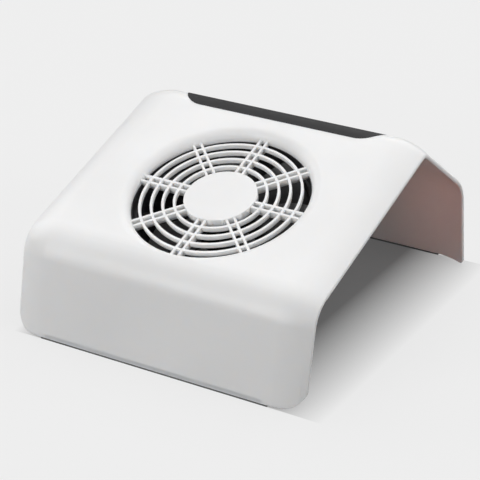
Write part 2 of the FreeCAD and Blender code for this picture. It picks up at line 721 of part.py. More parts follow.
def switch_terminals():
    end = -SWITCH_DEPTH - 7.0
    blades = [box(SWITCH_X - 2.4, SWITCH_X + 2.4, y - 0.4, y + 0.4, end, -SWITCH_DEPTH)
              for y in (-5.0, 5.0)]
    return Part.makeCompound([on_leg(b) for b in blades])


def speed_knob():
    """Knurled cap with a pointer groove and a blind hole for the shaft."""
    cap = rod(KNOB_R, KNOB_BOTTOM, KNOB_TOP)
    top_edge = [e for e in cap.Edges if e.Closed and abs(e.BoundBox.ZMin - KNOB_TOP) < 1e-6]
    cap = cap.makeFillet(1.0, top_edge)
    cuts = [rod(6.2, -1, KNOB_BOTTOM + 2.0), rod(POT_SHAFT_R, -1, KNOB_TOP - 1.6)]
    for n in range(KNURLS):
        groove = rod(KNURL_R, KNOB_BOTTOM - 1, KNOB_TOP - 1.2, KNOB_R + 0.15)
        groove.rotate(Vector(0, 0, 0), Vector(0, 0, 1), (n + 0.5) * 360.0 / KNURLS)
        cuts.append(groove)
    pointer = box(-0.5, 0.5, -KNOB_R + 1.5, -3.0, KNOB_TOP - 0.5, KNOB_TOP + 1)
    cap = cap.cut(cuts + [pointer])
    return on_leg(cap.translated(Vector(KNOB_X, 0, 0)))


def pot_shaft():
    return on_leg(rod(POT_SHAFT_R, -9.0, KNOB_TOP - 1.7, KNOB_X))


def potentiometer():
    can = rod(POT_R, POT_BACK, -WALL - 0.1, KNOB_X)
    bush = rod(BUSH_R, -WALL - 0.1, 2.2, KNOB_X)
    bore = rod(POT_SHAFT_R + 0.04, -9.2, 3, KNOB_X)
    return on_leg(fused([can, bush]).cut(bore))


def hex_nut(across, bore, z0, z1, x):
    r = across / 2 / cos(30)
    points = [Vector(x + r * cos(60 * n), r * sin(60 * n), z0) for n in range(6)]
    return polygon(points).extrude(Vector(0, 0, z1 - z0)).cut(rod(bore, z0 - 1, z1 + 1, x))


def pot_nut():
    return on_leg(hex_nut(10.0, BUSH_R, 0.05, 1.9, KNOB_X))


def power_jack():
    """Barrel jack: flanged barrel with a blind bore."""
    reach, thick = JACK_FLANGE
    barrel = rod(JACK_R, -14.0, 0, JACK_X)
    flange = rod(JACK_R + reach, 0, thick, JACK_X)
    bore = rod(JACK_BORE_R, thick - JACK_BORE_DEPTH, 2, JACK_X)
    seat = rod(JACK_PIN_R, -20, thick - JACK_BORE_DEPTH + 0.01, JACK_X)
    return on_leg(fused([barrel, flange]).cut(bore).cut(seat))


def jack_contacts():
    """Centre pin with its tail, and the sleeve's tail."""
    pin = rod(JACK_PIN_R, -17.0, -0.6, JACK_X)
    tail = box(JACK_X + 2.5, JACK_X + 4.0, -0.4, 0.4, -17.0, -14.0)
    return Part.makeCompound([on_leg(pin), on_leg(tail)])


def jack_nut():
    return on_leg(hex_nut(14.0, JACK_R, -WALL - 2.2, -WALL, JACK_X))


def control_board():
    length, width, thick = BOARD
    plate = box(KNOB_X - length / 2, KNOB_X + length / 2, BOARD_Y, BOARD_Y + width,
                POT_BACK - thick, POT_BACK)
    return on_leg(plate)


def board_components():
    """Capacitor, regulator on its tab, coil and connector on the board."""
    face = POT_BACK - BOARD[2]
    capacitor = rod(4.0, face - 9.0, face, KNOB_X - 13, -6)
    regulator = box(KNOB_X - 4, KNOB_X + 6, -10.5, -6.0, face - 9.0, face)
    coil = tube(1.8, 4.5, face - 4.0, face, KNOB_X + 12, 14)
    connector = box(KNOB_X - 16, KNOB_X - 6, 15, 21, face - 6.0, face)
    return Part.makeCompound([on_leg(s) for s in (capacitor, regulator, coil, connector)])


def electronics_cover():
    """Open box over the controls inside the far leg, with four screw ears."""
    x0, x1 = COVER_X
    y0, y1 = COVER_Y
    outer = box(x0, x1, y0, y1, COVER_INNER, -WALL)
    inner = box(x0 + COVER_WALL, x1 - COVER_WALL, y0 + COVER_WALL, y1 - COVER_WALL,
                COVER_INNER + COVER_WALL, -WALL + 1)
    outer = outer.makeFillet(4.0, [e for e in outer.Edges if e.BoundBox.ZMax < COVER_INNER + 0.01])
    parts = [outer]
    for x, y in cover_screw_places():
        side = x0 + 1 if x < x0 else x1 - 1
        low = -COVER_FOOT - COVER_EAR_T
        parts.append(rod(COVER_EAR_R, low, -COVER_FOOT, x, y))
        parts.append(box(min(x, side), max(x, side), y - COVER_EAR_R, y + COVER_EAR_R,
                         low, -COVER_FOOT))
    shape = fused(parts).cut(inner)
    holes = [rod(SCREW_R + SCREW_PLAY, -30, 0, x, y) for x, y in cover_screw_places()]
    lead_slot = box(LEAD_X - 2.0, LEAD_X + 2.0, y0 - 2, y0 + COVER_WALL + 1, -14.0, -WALL + 1)
    return on_leg(shape.cut(holes + [lead_slot]))


def cover_screws():
    seat = -COVER_FOOT - COVER_EAR_T
    return Part.makeCompound([on_leg(pan_screw(x, y, seat, COVER_SCREW_TIP))
                              for x, y in cover_screw_places()])


# ---- wires -------------------------------------------------------------------------------------

def bent_wire(points, r):
    """Round wire along straight runs joined by tangent arcs."""
    edges = []
    last = points[0]
    for k in range(1, len(points) - 1):
        p = points[k]
        back = points[k - 1].sub(p)
        ahead = points[k + 1].sub(p)
        turn = math.pi - back.getAngle(ahead)
        cut = 0.45 * min(back.Length, ahead.Length)
        back.normalize()
        ahead.normalize()
        start = p.add(Vector(back).multiply(cut))
        end = p.add(Vector(ahead).multiply(cut))
        radius = cut / math.tan(turn / 2)
        inward = back.add(ahead).normalize()
        sagitta_point = p.add(inward.multiply(radius / math.cos(turn / 2) - radius))
        edges.append(line(last, start))
        edges.append(arc(start, sagitta_point, end))
        last = end
    edges.append(line(last, points[-1]))
    path = Part.Wire(edges)
    direction = points[1].sub(points[0])
    ring = Part.Wire(Part.Circle(points[0], direction, r).toShape())
    return path.makePipeShell([ring], True, False)


def leg_point(x, y, z):
    return LEG.multVec(Vector(x, y, z))


def ramp_point(x, y, z):
    return RAMP.multVec(Vector(x, y, z))


def facet_point(x, run, depth):
    """Point a depth under the rear facet, a run up it from the far shoulder."""
    p = CORNERS[3].sub(along(heading(2)).multiply(run)).sub(outward(heading(2)).multiply(depth))
    return Vector(x, p.y, p.z)


def jack_wires():
    """From the jack's tails to the switch and to the board."""
    back = POT_BACK - BOARD[2]
    to_switch = [leg_point(JACK_X, 0, -17.0), leg_point(JACK_X, 0, -22.0),
                 leg_point(JACK_X - 6, 16, -24.0),
                 leg_point(KNOB_X, 25.0, -23.0), leg_point(SWITCH_X + 8, 16, -23.0),
                 leg_point(SWITCH_X + 3, 7, -23.4)]
    to_board = [leg_point(JACK_X + 3.25, 0, -17.0), leg_point(JACK_X + 3.25, 0, -20.0),
                leg_point(JACK_X, -6, -21.5), leg_point(KNOB_X + 16, -5, -19.0),
                leg_point(KNOB_X + 16, -5, back)]
    return Part.makeCompound([bent_wire(to_switch, WIRE_R), bent_wire(to_board, WIRE_R)])


def switch_wire():
    """From the switch to the board's connector."""
    back = POT_BACK - BOARD[2]
    route = [leg_point(SWITCH_X, -5.0, -22.0), leg_point(SWITCH_X, -5.0, -24.6),
             leg_point(SWITCH_X + 9, 6, -24.6), leg_point(KNOB_X - 11, 18, -24.0),
             leg_point(KNOB_X - 11, 18, back - 6.0)]
    return bent_wire(route, WIRE_R)


def fan_lead():
    """White lead from the board, up under the facet and the ramp, to the motor."""
    spoke_z = BASE_TOP + 1.3
    route = [leg_point(KNOB_X + 16.0, 4.0, POT_BACK + 1.2), leg_point(LEAD_X, -4.0, -10.5),
             leg_point(LEAD_X, -20.0, -12.0), facet_point(LEAD_X, 14.0, 10.0),
             facet_point(LEAD_X + 2, 40.0, 7.0), facet_point(LEAD_X + 5, 66.0, 10.0),
             ramp_point(-3, 84.0, -26.0), ramp_point(0, 72.0, spoke_z), ramp_point(0, 17.5, spoke_z)]
    return bent_wire(route, LEAD_R)


# ---- dust bag ----------------------------------------------------------------------------------

def ellipse_wire(centre, half_x, half_y, tilt):
    """Ellipse in a plane that leans by tilt about X."""
    stretch = FreeCAD.Matrix()
    stretch.scale(half_x, half_y, 1.0)
    circle = Part.Wire(Part.Circle(Vector(0, 0, 0), Vector(0, 0, 1), 1.0).toShape())
    wire = circle.transformGeometry(stretch)
    return moved(wire, Placement(centre, Rotation(Vector(1, 0, 0), tilt)))


def dust_bag():
    """Cloth bag gathered round the fan's collar, resting just above the table."""
    lip = ramp_point(0, 0, DUCT_END + COLLAR_BEAD_H + 7.0)
    under_collar = ramp_point(0, 0, DUCT_END - 1.5)
    neck = ellipse_wire(lip, BAG_NECK_R, BAG_NECK_R, RAMP_SLOPE)
    below = ellipse_wire(under_collar, BAG_NECK_R, BAG_NECK_R, RAMP_SLOPE)
    belly = ellipse_wire(Vector(0, *BAG_BELLY), BAG_NECK_R - 6, BAG_NECK_R - 5, 12.0)
    base = ellipse_wire(Vector(0, BAG_BASE_Y, BAG_FLOOR_Z), *BAG_BASE_HALVES, 0)
    upper = Part.makeLoft([neck, below], True, True)
    lower = Part.makeLoft([below, belly, base], True, False)
    collar = on_ramp(rod(COLLAR_BEAD_R + BAG_CLEARANCE, DUCT_END - BAG_CLEARANCE, -20))
    return fused([upper, lower]).cut(collar)


def bag_elastic():
    z = DUCT_END + COLLAR_BEAD_H + 4.0
    ring_r = BAG_NECK_R + BAG_CLEARANCE + ELASTIC_R
    return on_ramp(Part.makeTorus(ring_r, ELASTIC_R, Vector(0, 0, z), Vector(0, 0, 1)))


# ---- all nodes ---------------------------------------------------------------------------------

def build_nodes():
    return {
        "top_shell": top_shell(),
        "inlay_strip": inlay_strip(),
        "inlay_tape": inlay_tape(),
        "foot_strip_near": foot_strip(0),
        "foot_strip_far": foot_strip(3),
        "fan_housing": fan_housing(),
        "fan_screws": fan_screws(),
        "impeller": impeller(),
        "rotor_can": rotor_can(),
        "rotor_magnet": rotor_magnet(),
        "motor_shaft": motor_shaft(),
        "shaft_clip": shaft_clip(),
        "bearing_tube": bearing_tube(),
        "bearing_upper": bearing(CORE_TOP + 0.4),
        "bearing_lower": bearing(BASE_TOP + 4.0),
        "stator_core": stator_core(),
        "stator_windings": stator_windings(),
        "motor_board": motor_board(),
        "switch_body": switch_body(),
        "switch_rocker": rocker(),
        "switch_terminals": switch_terminals(),
        "speed_knob": speed_knob(),
        "pot_shaft": pot_shaft(),
        "potentiometer": potentiometer(),
        "pot_nut": pot_nut(),
        "power_jack": power_jack(),
        "jack_contacts": jack_contacts(),
        "jack_nut": jack_nut(),
        "control_board": control_board(),
        "board_components": board_components(),
        "electronics_cover": electronics_cover(),
        "cover_screws": cover_screws(),
        "jack_wires": jack_wires(),
        "switch_wire": switch_wire(),
        "fan_lead": fan_lead(),
        "dust_bag": dust_bag(),
        "bag_elastic": bag_elastic(),
    }


os.makedirs("parts", exist_ok=True)
for name, shape in build_nodes().items():
    shape.exportStep(os.path.join("parts", name + ".step"))
    bounds = shape.BoundBox
    print(name, len(shape.Solids), shape.isValid(), round(shape.Volume),
          round(bounds.XLength, 1), round(bounds.YLength, 1), round(bounds.ZLength, 1))
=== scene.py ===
import json
import math

import bmesh
import bpy
from bpy.props import FloatProperty, FloatVectorProperty, IntProperty, PointerProperty
from bpy.types import Operator, Panel, PropertyGroup
from mathutils import Matrix, Vector


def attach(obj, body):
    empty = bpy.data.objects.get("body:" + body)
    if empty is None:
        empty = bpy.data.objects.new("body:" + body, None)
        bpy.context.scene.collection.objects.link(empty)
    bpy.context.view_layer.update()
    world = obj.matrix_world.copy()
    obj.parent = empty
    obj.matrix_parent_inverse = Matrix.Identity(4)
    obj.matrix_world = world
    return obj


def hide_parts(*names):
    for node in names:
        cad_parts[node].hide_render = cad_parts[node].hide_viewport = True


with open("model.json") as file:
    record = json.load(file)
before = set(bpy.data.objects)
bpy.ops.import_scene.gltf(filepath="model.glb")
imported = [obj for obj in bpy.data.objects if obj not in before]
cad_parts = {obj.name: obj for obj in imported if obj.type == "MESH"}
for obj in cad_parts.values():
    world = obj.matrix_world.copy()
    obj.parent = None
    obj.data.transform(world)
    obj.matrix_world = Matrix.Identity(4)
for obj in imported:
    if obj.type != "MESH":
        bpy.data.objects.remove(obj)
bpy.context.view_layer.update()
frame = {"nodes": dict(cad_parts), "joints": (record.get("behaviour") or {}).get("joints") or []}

bl_info = {
    "name": "Nail Dust Collector",
    "version": (1, 0, 0),
    "blender": (4, 5, 0),
    "location": "View3D > Sidebar > Dust Collector",
    "description": "Dresses the arched nail dust collector: shell, grille, fan, controls and dust bag",
    "category": "Object",
}

MM = 0.001
HOUSING = "housing"
ROTOR = "fan_rotor"
ROCKER_BODY = "switch_cap"
KNOB_BODY = "knob"
BEHAVIOUR_JOINTS = {joint["name"]: joint for joint in frame["joints"]}

# Places along the fan's axis, measured from the ramp's surface, and across it.
FAN_JOINT_DEPTH = -20.0
BOSS_AT = 56.0
FAN_SCREW_SEAT = -19.0
FAN_SCREW_TIP = -6.0

# Places along the far leg, measured from its outer face.
SWITCH_X = -68.0
KNOB_X = -34.0
COVER_SCREW_SEAT = -10.0
COVER_SCREW_TIP = -1.6
COVER_SCREWS = ((-93.0, -8.5), (-93.0, 25.0), (21.0, -8.5), (21.0, 15.0))


# ---- frames --------------------------------------------------------------------------------------

def axes_frame(origin, up):
    """Frame with X along the arch, Z along up, in metres."""
    z = Vector(up).normalized()
    x = Vector((1.0, 0.0, 0.0))
    y = z.cross(x)
    turn = Matrix((x, y, z)).transposed()
    return Matrix.Translation(origin) @ turn.to_4x4()


def ramp_frame():
    """Z out of the ramp along the fan's axis, Y up the slope, origin in the ramp's surface."""
    joint = BEHAVIOUR_JOINTS["fan_spin"]
    axis = Vector(joint["axis"]).normalized()
    return axes_frame(Vector(joint["pos_m"]) - axis * FAN_JOINT_DEPTH * MM, axis)


def leg_frame(x):
    """Z out of the far leg, Y down it, at a place along the arch."""
    joint = BEHAVIOUR_JOINTS["knob_turn"]
    origin = Vector(joint["pos_m"])
    origin.x = x * MM
    return axes_frame(origin, joint["axis"])


# ---- modelling by hand ---------------------------------------------------------------------------

def deselect_all():
    if bpy.context.object and bpy.context.object.mode != "OBJECT":
        bpy.ops.object.mode_set(mode="OBJECT")
    bpy.ops.object.select_all(action="DESELECT")


def activate(piece):
    deselect_all()
    piece.select_set(True)
    bpy.context.view_layer.objects.active = piece


def edit(kind="FACE"):
    bpy.ops.object.mode_set(mode="EDIT")
    bpy.ops.mesh.select_mode(type=kind)


def done():
    bpy.ops.object.mode_set(mode="OBJECT")
    return bpy.context.object


def pick(kind, test):
    """Selects the faces, edges or vertices of the mesh being edited that pass a test of their place."""
    bpy.ops.mesh.select_mode(type=kind)
    bpy.ops.mesh.select_all(action="DESELECT")
    mesh = bmesh.from_edit_mesh(bpy.context.object.data)
    mesh.normal_update()
    if kind == "FACE":
        chosen = [f for f in mesh.faces if test(f.calc_center_median() / MM, f.normal)]
    elif kind == "EDGE":
        chosen = [e for e in mesh.edges if test(e.verts[0].co / MM, e.verts[1].co / MM)]
    else:
        chosen = [v for v in mesh.verts if test(v.co / MM)]
    for element in chosen:
        element.select_set(True)
    mesh.select_flush_mode()
    bmesh.update_edit_mesh(bpy.context.object.data)
    return len(chosen)


def extrude(x, y, z):
    bpy.ops.mesh.extrude_region_move(TRANSFORM_OT_translate={"value": (x * MM, y * MM, z * MM)})


def inset(width, depth=0.0):
    bpy.ops.mesh.inset(thickness=width * MM, depth=depth * MM, use_even_offset=True)


def push(x, y, z):
    bpy.ops.transform.translate(value=(x * MM, y * MM, z * MM))


def stretch(x, y, z, centre=(0.0, 0.0, 0.0)):
    bpy.ops.transform.resize(value=(x, y, z), center_override=[c * MM for c in centre])


def cylinder(radius, bottom, top, sides):
    deselect_all()
    bpy.ops.mesh.primitive_cylinder_add(vertices=sides, radius=radius * MM, depth=(top - bottom) * MM,
                                        location=(0.0, 0.0, (top + bottom) / 2 * MM))
    return placed()


def block(width, length, bottom, top, at=(0.0, 0.0)):
    deselect_all()
    bpy.ops.mesh.primitive_cube_add(size=1.0, location=(at[0] * MM, at[1] * MM, (top + bottom) / 2 * MM))
    piece = bpy.context.object
    piece.scale = (width * MM, length * MM, (top - bottom) * MM)
    return placed()


def placed():
    """The active piece with its place, turn and size put in its mesh."""
    bpy.ops.object.transform_apply(location=True, rotation=True, scale=True)
    return bpy.context.object


def put(piece, place):
    """Moves a piece to a frame and puts the move in its mesh."""
    activate(piece)
    piece.matrix_world = place @ piece.matrix_world
    return placed()


def duplicate(piece, place):
    """A copy with its own mesh, moved by a matrix."""
    twin = piece.copy()
    twin.data = piece.data.copy()
    bpy.context.scene.collection.objects.link(twin)
    return put(twin, place)


def turned(piece, copies):
    """Further copies of a piece, spaced evenly about Z."""
    step = 2 * math.pi / copies
    return [duplicate(piece, Matrix.Rotation(n * step, 4, "Z")) for n in range(1, copies)]


def joined(pieces):
    deselect_all()
    for piece in pieces:
        piece.select_set(True)
    bpy.context.view_layer.objects.active = pieces[0]
    bpy.ops.object.join()
    return bpy.context.object


def modify(piece, kind, **settings):
    """Adds a modifier and applies it."""
    activate(piece)
    bpy.ops.object.modifier_add(type=kind)
    modifier = piece.modifiers[-1]
    for name, value in settings.items():
        setattr(modifier, name, value)
    bpy.ops.object.modifier_apply(modifier=modifier.name)
    return piece


def soften(piece, width, segments=2, angle=35.0):
    return modify(piece, "BEVEL", width=width * MM, segments=segments, limit_method="ANGLE",
                  angle_limit=math.radians(angle), harden_normals=False)


def outward(piece):
    activate(piece)
    edit()
    bpy.ops.mesh.select_all(action="SELECT")
    bpy.ops.mesh.normals_make_consistent(inside=False)
    return done()


def shade(piece, angle=35.0):
    activate(piece)
    bpy.ops.object.shade_smooth_by_angle(angle=math.radians(angle))
    return piece


def hand_over(piece, name, body, slot, finish, *nodes):
    """Names a finished piece, paints it, and lets it ride on its body in place of CAD nodes."""
    piece.name = name
    piece.data.name = name
    piece.data.materials.clear()
    piece.data.materials.append(finish)
    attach(piece, body)
    if nodes:
        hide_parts(*nodes)
    return piece


def merged_copy(node):
    """A copy of a CAD node with its loose triangles joined up."""
    mesh = frame["nodes"][node].data.copy()
    piece = bpy.data.objects.new(node + "_copy", mesh)
    bpy.context.scene.collection.objects.link(piece)
    activate(piece)
    edit("VERT")
    bpy.ops.mesh.select_all(action="SELECT")
    bpy.ops.mesh.remove_doubles(threshold=0.001 * MM)
    return done()


# ---- finishes ------------------------------------------------------------------------------------

class Finish:
    """A node material in the making; what is the same all over goes on the shader's sockets."""

    def __init__(self, name, **constants):
        self.material = bpy.data.materials.new(name)
        self.material.use_nodes = True
        self.nodes = self.material.node_tree.nodes
        self.links = self.material.node_tree.links
        self.shader = self.nodes["Principled BSDF"]
        for socket, value in constants.items():
            self.shader.inputs[socket.replace("_", " ")].default_value = value
        self.place = self.nodes.new("ShaderNodeTexCoord").outputs["Object"]
        self.last_bump = None

    def by_uv(self):
        self.place = self.nodes.new("ShaderNodeTexCoord").outputs["UV"]
        return self

    def turned_to(self, place):
        """Patterns from here on follow a frame of the object."""
        mapping = self.nodes.new("ShaderNodeMapping")
        mapping.vector_type = "TEXTURE"
        mapping.inputs["Location"].default_value = place.to_translation()
        mapping.inputs["Rotation"].default_value = place.to_euler()
        self.links.new(self.place, mapping.inputs["Vector"])
        self.place = mapping.outputs["Vector"]
        return self

    def stretched(self, x, y, z):
        mapping = self.nodes.new("ShaderNodeMapping")
        mapping.inputs["Scale"].default_value = (x, y, z)
        self.links.new(self.place, mapping.inputs["Vector"])
        return mapping.outputs["Vector"]

    def noise(self, scale, detail=2.0, roughness=0.5, place=None):
        node = self.nodes.new("ShaderNodeTexNoise")
        node.inputs["Scale"].default_value = scale
        node.inputs["Detail"].default_value = detail
        node.inputs["Roughness"].default_value = roughness
        self.links.new(place or self.place, node.inputs["Vector"])
        return node.outputs["Fac"]

    def waves(self, scale, axis="X", distortion=0.0, place=None, bands="BANDS"):
        node = self.nodes.new("ShaderNodeTexWave")
        node.wave_type = bands
        if bands == "BANDS":
            node.bands_direction = axis
        else:
            node.rings_direction = axis
        node.inputs["Scale"].default_value = scale
        node.inputs["Distortion"].default_value = distortion
        node.inputs["Detail Scale"].default_value = 1.5
        self.links.new(place or self.place, node.inputs["Vector"])
        return node.outputs["Fac"]

    def cells(self, scale, feature="F1", place=None):
        node = self.nodes.new("ShaderNodeTexVoronoi")
        node.feature = feature
        node.inputs["Scale"].default_value = scale
        self.links.new(place or self.place, node.inputs["Vector"])
        return node.outputs["Distance"]

    def ranged(self, source, low, high, start=0.3, end=0.7):
        node = self.nodes.new("ShaderNodeMapRange")
        node.inputs["From Min"].default_value = start
        node.inputs["From Max"].default_value = end
        node.inputs["To Min"].default_value = low
        node.inputs["To Max"].default_value = high
        self.links.new(source, node.inputs["Value"])
        return node.outputs["Result"]

    def absolute(self, source):
        node = self.nodes.new("ShaderNodeMath")
        node.operation = "ABSOLUTE"
        self.links.new(source, node.inputs[0])
        return node.outputs["Value"]

    def combined(self, first, second, operation="MULTIPLY"):
        node = self.nodes.new("ShaderNodeMath")
        node.operation = operation
        self.links.new(first, node.inputs[0])
        self.links.new(second, node.inputs[1])
        return node.outputs["Value"]

    def tint(self, source, dark, light, start=0.3, end=0.7):
        node = self.nodes.new("ShaderNodeMix")
        node.data_type = "RGBA"
        for socket in node.inputs:
            if socket.name == "A" and socket.type == "RGBA":
                socket.default_value = (*dark, 1.0)
            if socket.name == "B" and socket.type == "RGBA":
                socket.default_value = (*light, 1.0)
        self.links.new(self.ranged(source, 0.0, 1.0, start, end), node.inputs["Factor"])
        colour = next(o for o in node.outputs if o.type == "RGBA")
        self.links.new(colour, self.shader.inputs["Base Color"])
        return self

    def gloss(self, source, low, high, start=0.3, end=0.7):
        self.links.new(self.ranged(source, low, high, start, end), self.shader.inputs["Roughness"])
        return self

    def relief(self, source, height, strength=1.0):
        """Bump of a height in millimetres, on top of the last one."""
        node = self.nodes.new("ShaderNodeBump")
        node.inputs["Distance"].default_value = height * MM
        node.inputs["Strength"].default_value = strength
        self.links.new(source, node.inputs["Height"])
        if self.last_bump:
            self.links.new(self.last_bump, node.inputs["Normal"])
        self.last_bump = node.outputs["Normal"]
        for old in list(self.shader.inputs["Normal"].links):
            self.links.remove(old)
        self.links.new(self.last_bump, self.shader.inputs["Normal"])
        return self


def shaded(colour, share):
    return tuple(min(1.0, c * share) for c in colour)


def moulded(name, colour, rough, grain, grain_height, ripple=0.02, **constants):
    """Moulded plastic: spark-eroded or polished grain, long ripples from the mould, uneven gloss."""
    finish = Finish(name, IOR=1.49, **constants)
    finish.tint(finish.noise(14.0), shaded(colour, 0.965), shaded(colour, 1.01))
    finish.gloss(finish.noise(70.0, 3.0), rough - 0.035, rough + 0.045)
    finish.relief(finish.noise(26.0, 1.0), ripple)
    finish.relief(finish.noise(grain, 3.0, 0.6), grain_height)
    return finish.material


def metal(name, colour, rough, axis, lines, height=0.004, **constants):
    """Turned or drawn metal with fine lines across an axis."""
    finish = Finish(name, Metallic=1.0, **constants)
    finish.tint(finish.noise(160.0, 3.0), shaded(colour, 0.86), colour)
    finish.gloss(finish.noise(420.0, 4.0), rough - 0.08, rough + 0.1)
    finish.relief(finish.waves(lines, axis, 1.2), height)
    return finish.material


def board_finish(place):
    """Solder mask over copper tracks."""
    finish = Finish("circuit_board", IOR=1.52).turned_to(place)
    tracks = finish.waves(190.0, "X", 0.0)
    across = finish.waves(120.0, "Y", 3.0)
    both = finish.combined(tracks, across, "MAXIMUM")
    finish.tint(both, (0.018, 0.11, 0.05), (0.045, 0.23, 0.11), 0.82, 0.9)
    finish.gloss(finish.noise(300.0), 0.28, 0.42)
    finish.relief(both, 0.03)
    return finish.material


def winding_finish(place):
    """Enamelled wire laid in close turns."""
    finish = Finish("copper", Metallic=1.0, Coat_Weight=0.5, Coat_Roughness=0.12).turned_to(place)
    turns = finish.waves(900.0, "Z", 0.6)
    finish.tint(turns, (0.32, 0.11, 0.035), (0.78, 0.36, 0.16), 0.1, 0.8)
    finish.gloss(finish.noise(500.0), 0.22, 0.36)
    finish.relief(turns, 0.12)
    return finish.material


def sleeve_finish(name, colour):
    """Soft insulation with a faint twist mark."""
    finish = Finish(name, IOR=1.5, Specular_IOR_Level=0.4)
    finish.tint(finish.noise(90.0), shaded(colour, 0.9), colour)
    finish.gloss(finish.noise(260.0), 0.42, 0.56)
    finish.relief(finish.noise(700.0, 3.0), 0.02)
    return finish.material


def cloth_finish(colour):
    """Spun-bonded cloth: pressed points in a fine grid, with fibres between them."""
    finish = Finish("bag_cloth", Sheen_Weight=0.25, Sheen_Roughness=0.5, Specular_IOR_Level=0.25,
                    Subsurface_Weight=0.0).by_uv()
    fibres = finish.noise(1400.0, 5.0, 0.7, finish.stretched(1.0, 2.6, 1.0))
    across = finish.noise(1100.0, 4.0, 0.7, finish.stretched(2.4, 1.0, 1.0))
    web = finish.combined(fibres, across, "MAXIMUM")
    dots = finish.cells(620.0)
    finish.tint(web, shaded(colour, 0.78), colour, 0.35, 0.75)
    finish.gloss(fibres, 0.72, 0.9)
    finish.relief(web, 0.12, 0.7)
    finish.relief(finish.ranged(dots, 0.0, 1.0, 0.08, 0.3), 0.1, 0.6)
    return finish.material


def elastic_finish(colour):
    """Knitted elastic: ribs round the cord."""
    finish = Finish("elastic", Sheen_Weight=0.3, Specular_IOR_Level=0.25).by_uv()
    ribs = finish.waves(400.0, "X", 0.5)
    finish.tint(ribs, shaded(colour, 0.7), colour, 0.15, 0.7)
    finish.gloss(finish.noise(500.0), 0.75, 0.92)
    finish.relief(ribs, 0.15)
    return finish.material


def lamination_finish(place):
    """Stacked steel sheets seen from their edges."""
    finish = Finish("lamination", Metallic=1.0).turned_to(place)
    sheets = finish.waves(310.0, "Z", 0.0)
    finish.tint(sheets, (0.12, 0.12, 0.13), (0.4, 0.4, 0.42), 0.05, 0.35)
    finish.gloss(finish.noise(240.0), 0.35, 0.55)
    finish.relief(sheets, 0.05)
    return finish.material


def tape_finish():
    """Double-sided foam tape."""
    finish = Finish("tape", Specular_IOR_Level=0.3)
    cells = finish.cells(2600.0)
    finish.tint(cells, (0.62, 0.62, 0.6), (0.86, 0.86, 0.84), 0.1, 0.5)
    finish.gloss(finish.noise(300.0), 0.8, 0.95)
    finish.relief(cells, 0.06)
    return finish.material


def rubber_finish(colour):
    """Foot rubber, matt and slightly dusty."""
    finish = Finish("foot_rubber", Specular_IOR_Level=0.35)
    finish.tint(finish.noise(110.0, 4.0), shaded(colour, 0.8), shaded(colour, 1.3))
    finish.gloss(finish.noise(600.0), 0.7, 0.86)
    finish.relief(finish.noise(1600.0, 4.0), 0.03)
    return finish.material


def component_finish():
    """Moulded parts of the board: sleeves, cores and connectors."""
    finish = Finish("component_black", IOR=1.5)
    finish.tint(finish.noise(120.0), (0.025, 0.025, 0.03), (0.055, 0.055, 0.065))
    finish.gloss(finish.noise(500.0), 0.35, 0.55)
    finish.relief(finish.noise(1800.0, 3.0), 0.015)
    return finish.material


def make_finishes(looks):
    ramp = ramp_frame()
    leg = leg_frame(KNOB_X)
    made = [
        moulded("white_shell", looks.shell_colour, looks.shell_roughness, 1300.0, 0.006,
                Subsurface_Weight=1.0, Subsurface_Scale=0.0015, Subsurface_Radius=(1.0, 0.95, 0.9)),
        moulded("smoked_panel", looks.panel_colour, 0.5, 1600.0, 0.012, 0.01, Specular_IOR_Level=0.18),
        moulded("black_plastic", (0.028, 0.028, 0.03), 0.42, 1500.0, 0.02),
        moulded("fan_black", looks.fan_colour, 0.38, 1100.0, 0.014),
        moulded("cover_plastic", (0.8, 0.8, 0.79), 0.5, 900.0, 0.03),
        metal("steel", (0.58, 0.58, 0.6), 0.3, "Z", 900.0),
        metal("screw_steel", (0.72, 0.72, 0.72), 0.24, "X", 1200.0, 0.002),
        metal("brass_contact", (0.78, 0.6, 0.3), 0.28, "Y", 900.0),
        metal("magnet", (0.13, 0.13, 0.14), 0.55, "Z", 300.0, 0.01),
        board_finish(leg),
        winding_finish(ramp),
        lamination_finish(ramp),
        sleeve_finish("wire_white", (0.84, 0.84, 0.82)),
        sleeve_finish("wire_dark", (0.07, 0.07, 0.075)),
        cloth_finish(looks.cloth_colour),
        elastic_finish((0.8, 0.8, 0.78)),
        tape_finish(),
        rubber_finish((0.13, 0.13, 0.13)),
        component_finish(),
    ]
    return {material.name.split(".")[0]: material for material in made}


FINISHES = {}


# ---- settings ------------------------------------------------------------------------------------

def colour_setting(name, description, default):
    return FloatVectorProperty(name=name, description=description, default=default,
                               subtype="COLOR", size=3, min=0.0, max=1.0)


def size_setting(name, description, default):
    return FloatProperty(name=name, description=description, default=default * MM,
                         min=0.0, unit="LENGTH", subtype="DISTANCE")


def count_setting(name, description, default, low, high):
    return IntProperty(name=name, description=description, default=default, min=low, max=high)


def level_setting(name, description, default):
    return FloatProperty(name=name, description=description, default=default, min=0.0)


class ShellLooks(PropertyGroup):
    shell_colour: colour_setting("Shell", "Colour of the moulded arch", (0.88, 0.88, 0.88))
    shell_roughness: FloatProperty(name="Gloss", description="Roughness of the arch",
                                   default=0.34, min=0.0, max=1.0, subtype="FACTOR")
    panel_colour: colour_setting("Inlay", "Colour of the strip over the peak", (0.03, 0.03, 0.031))
    fan_colour: colour_setting("Fan", "Colour of the impeller and its duct", (0.02, 0.02, 0.021))
    cloth_colour: colour_setting("Bag", "Colour of the dust bag", (0.86, 0.86, 0.84))


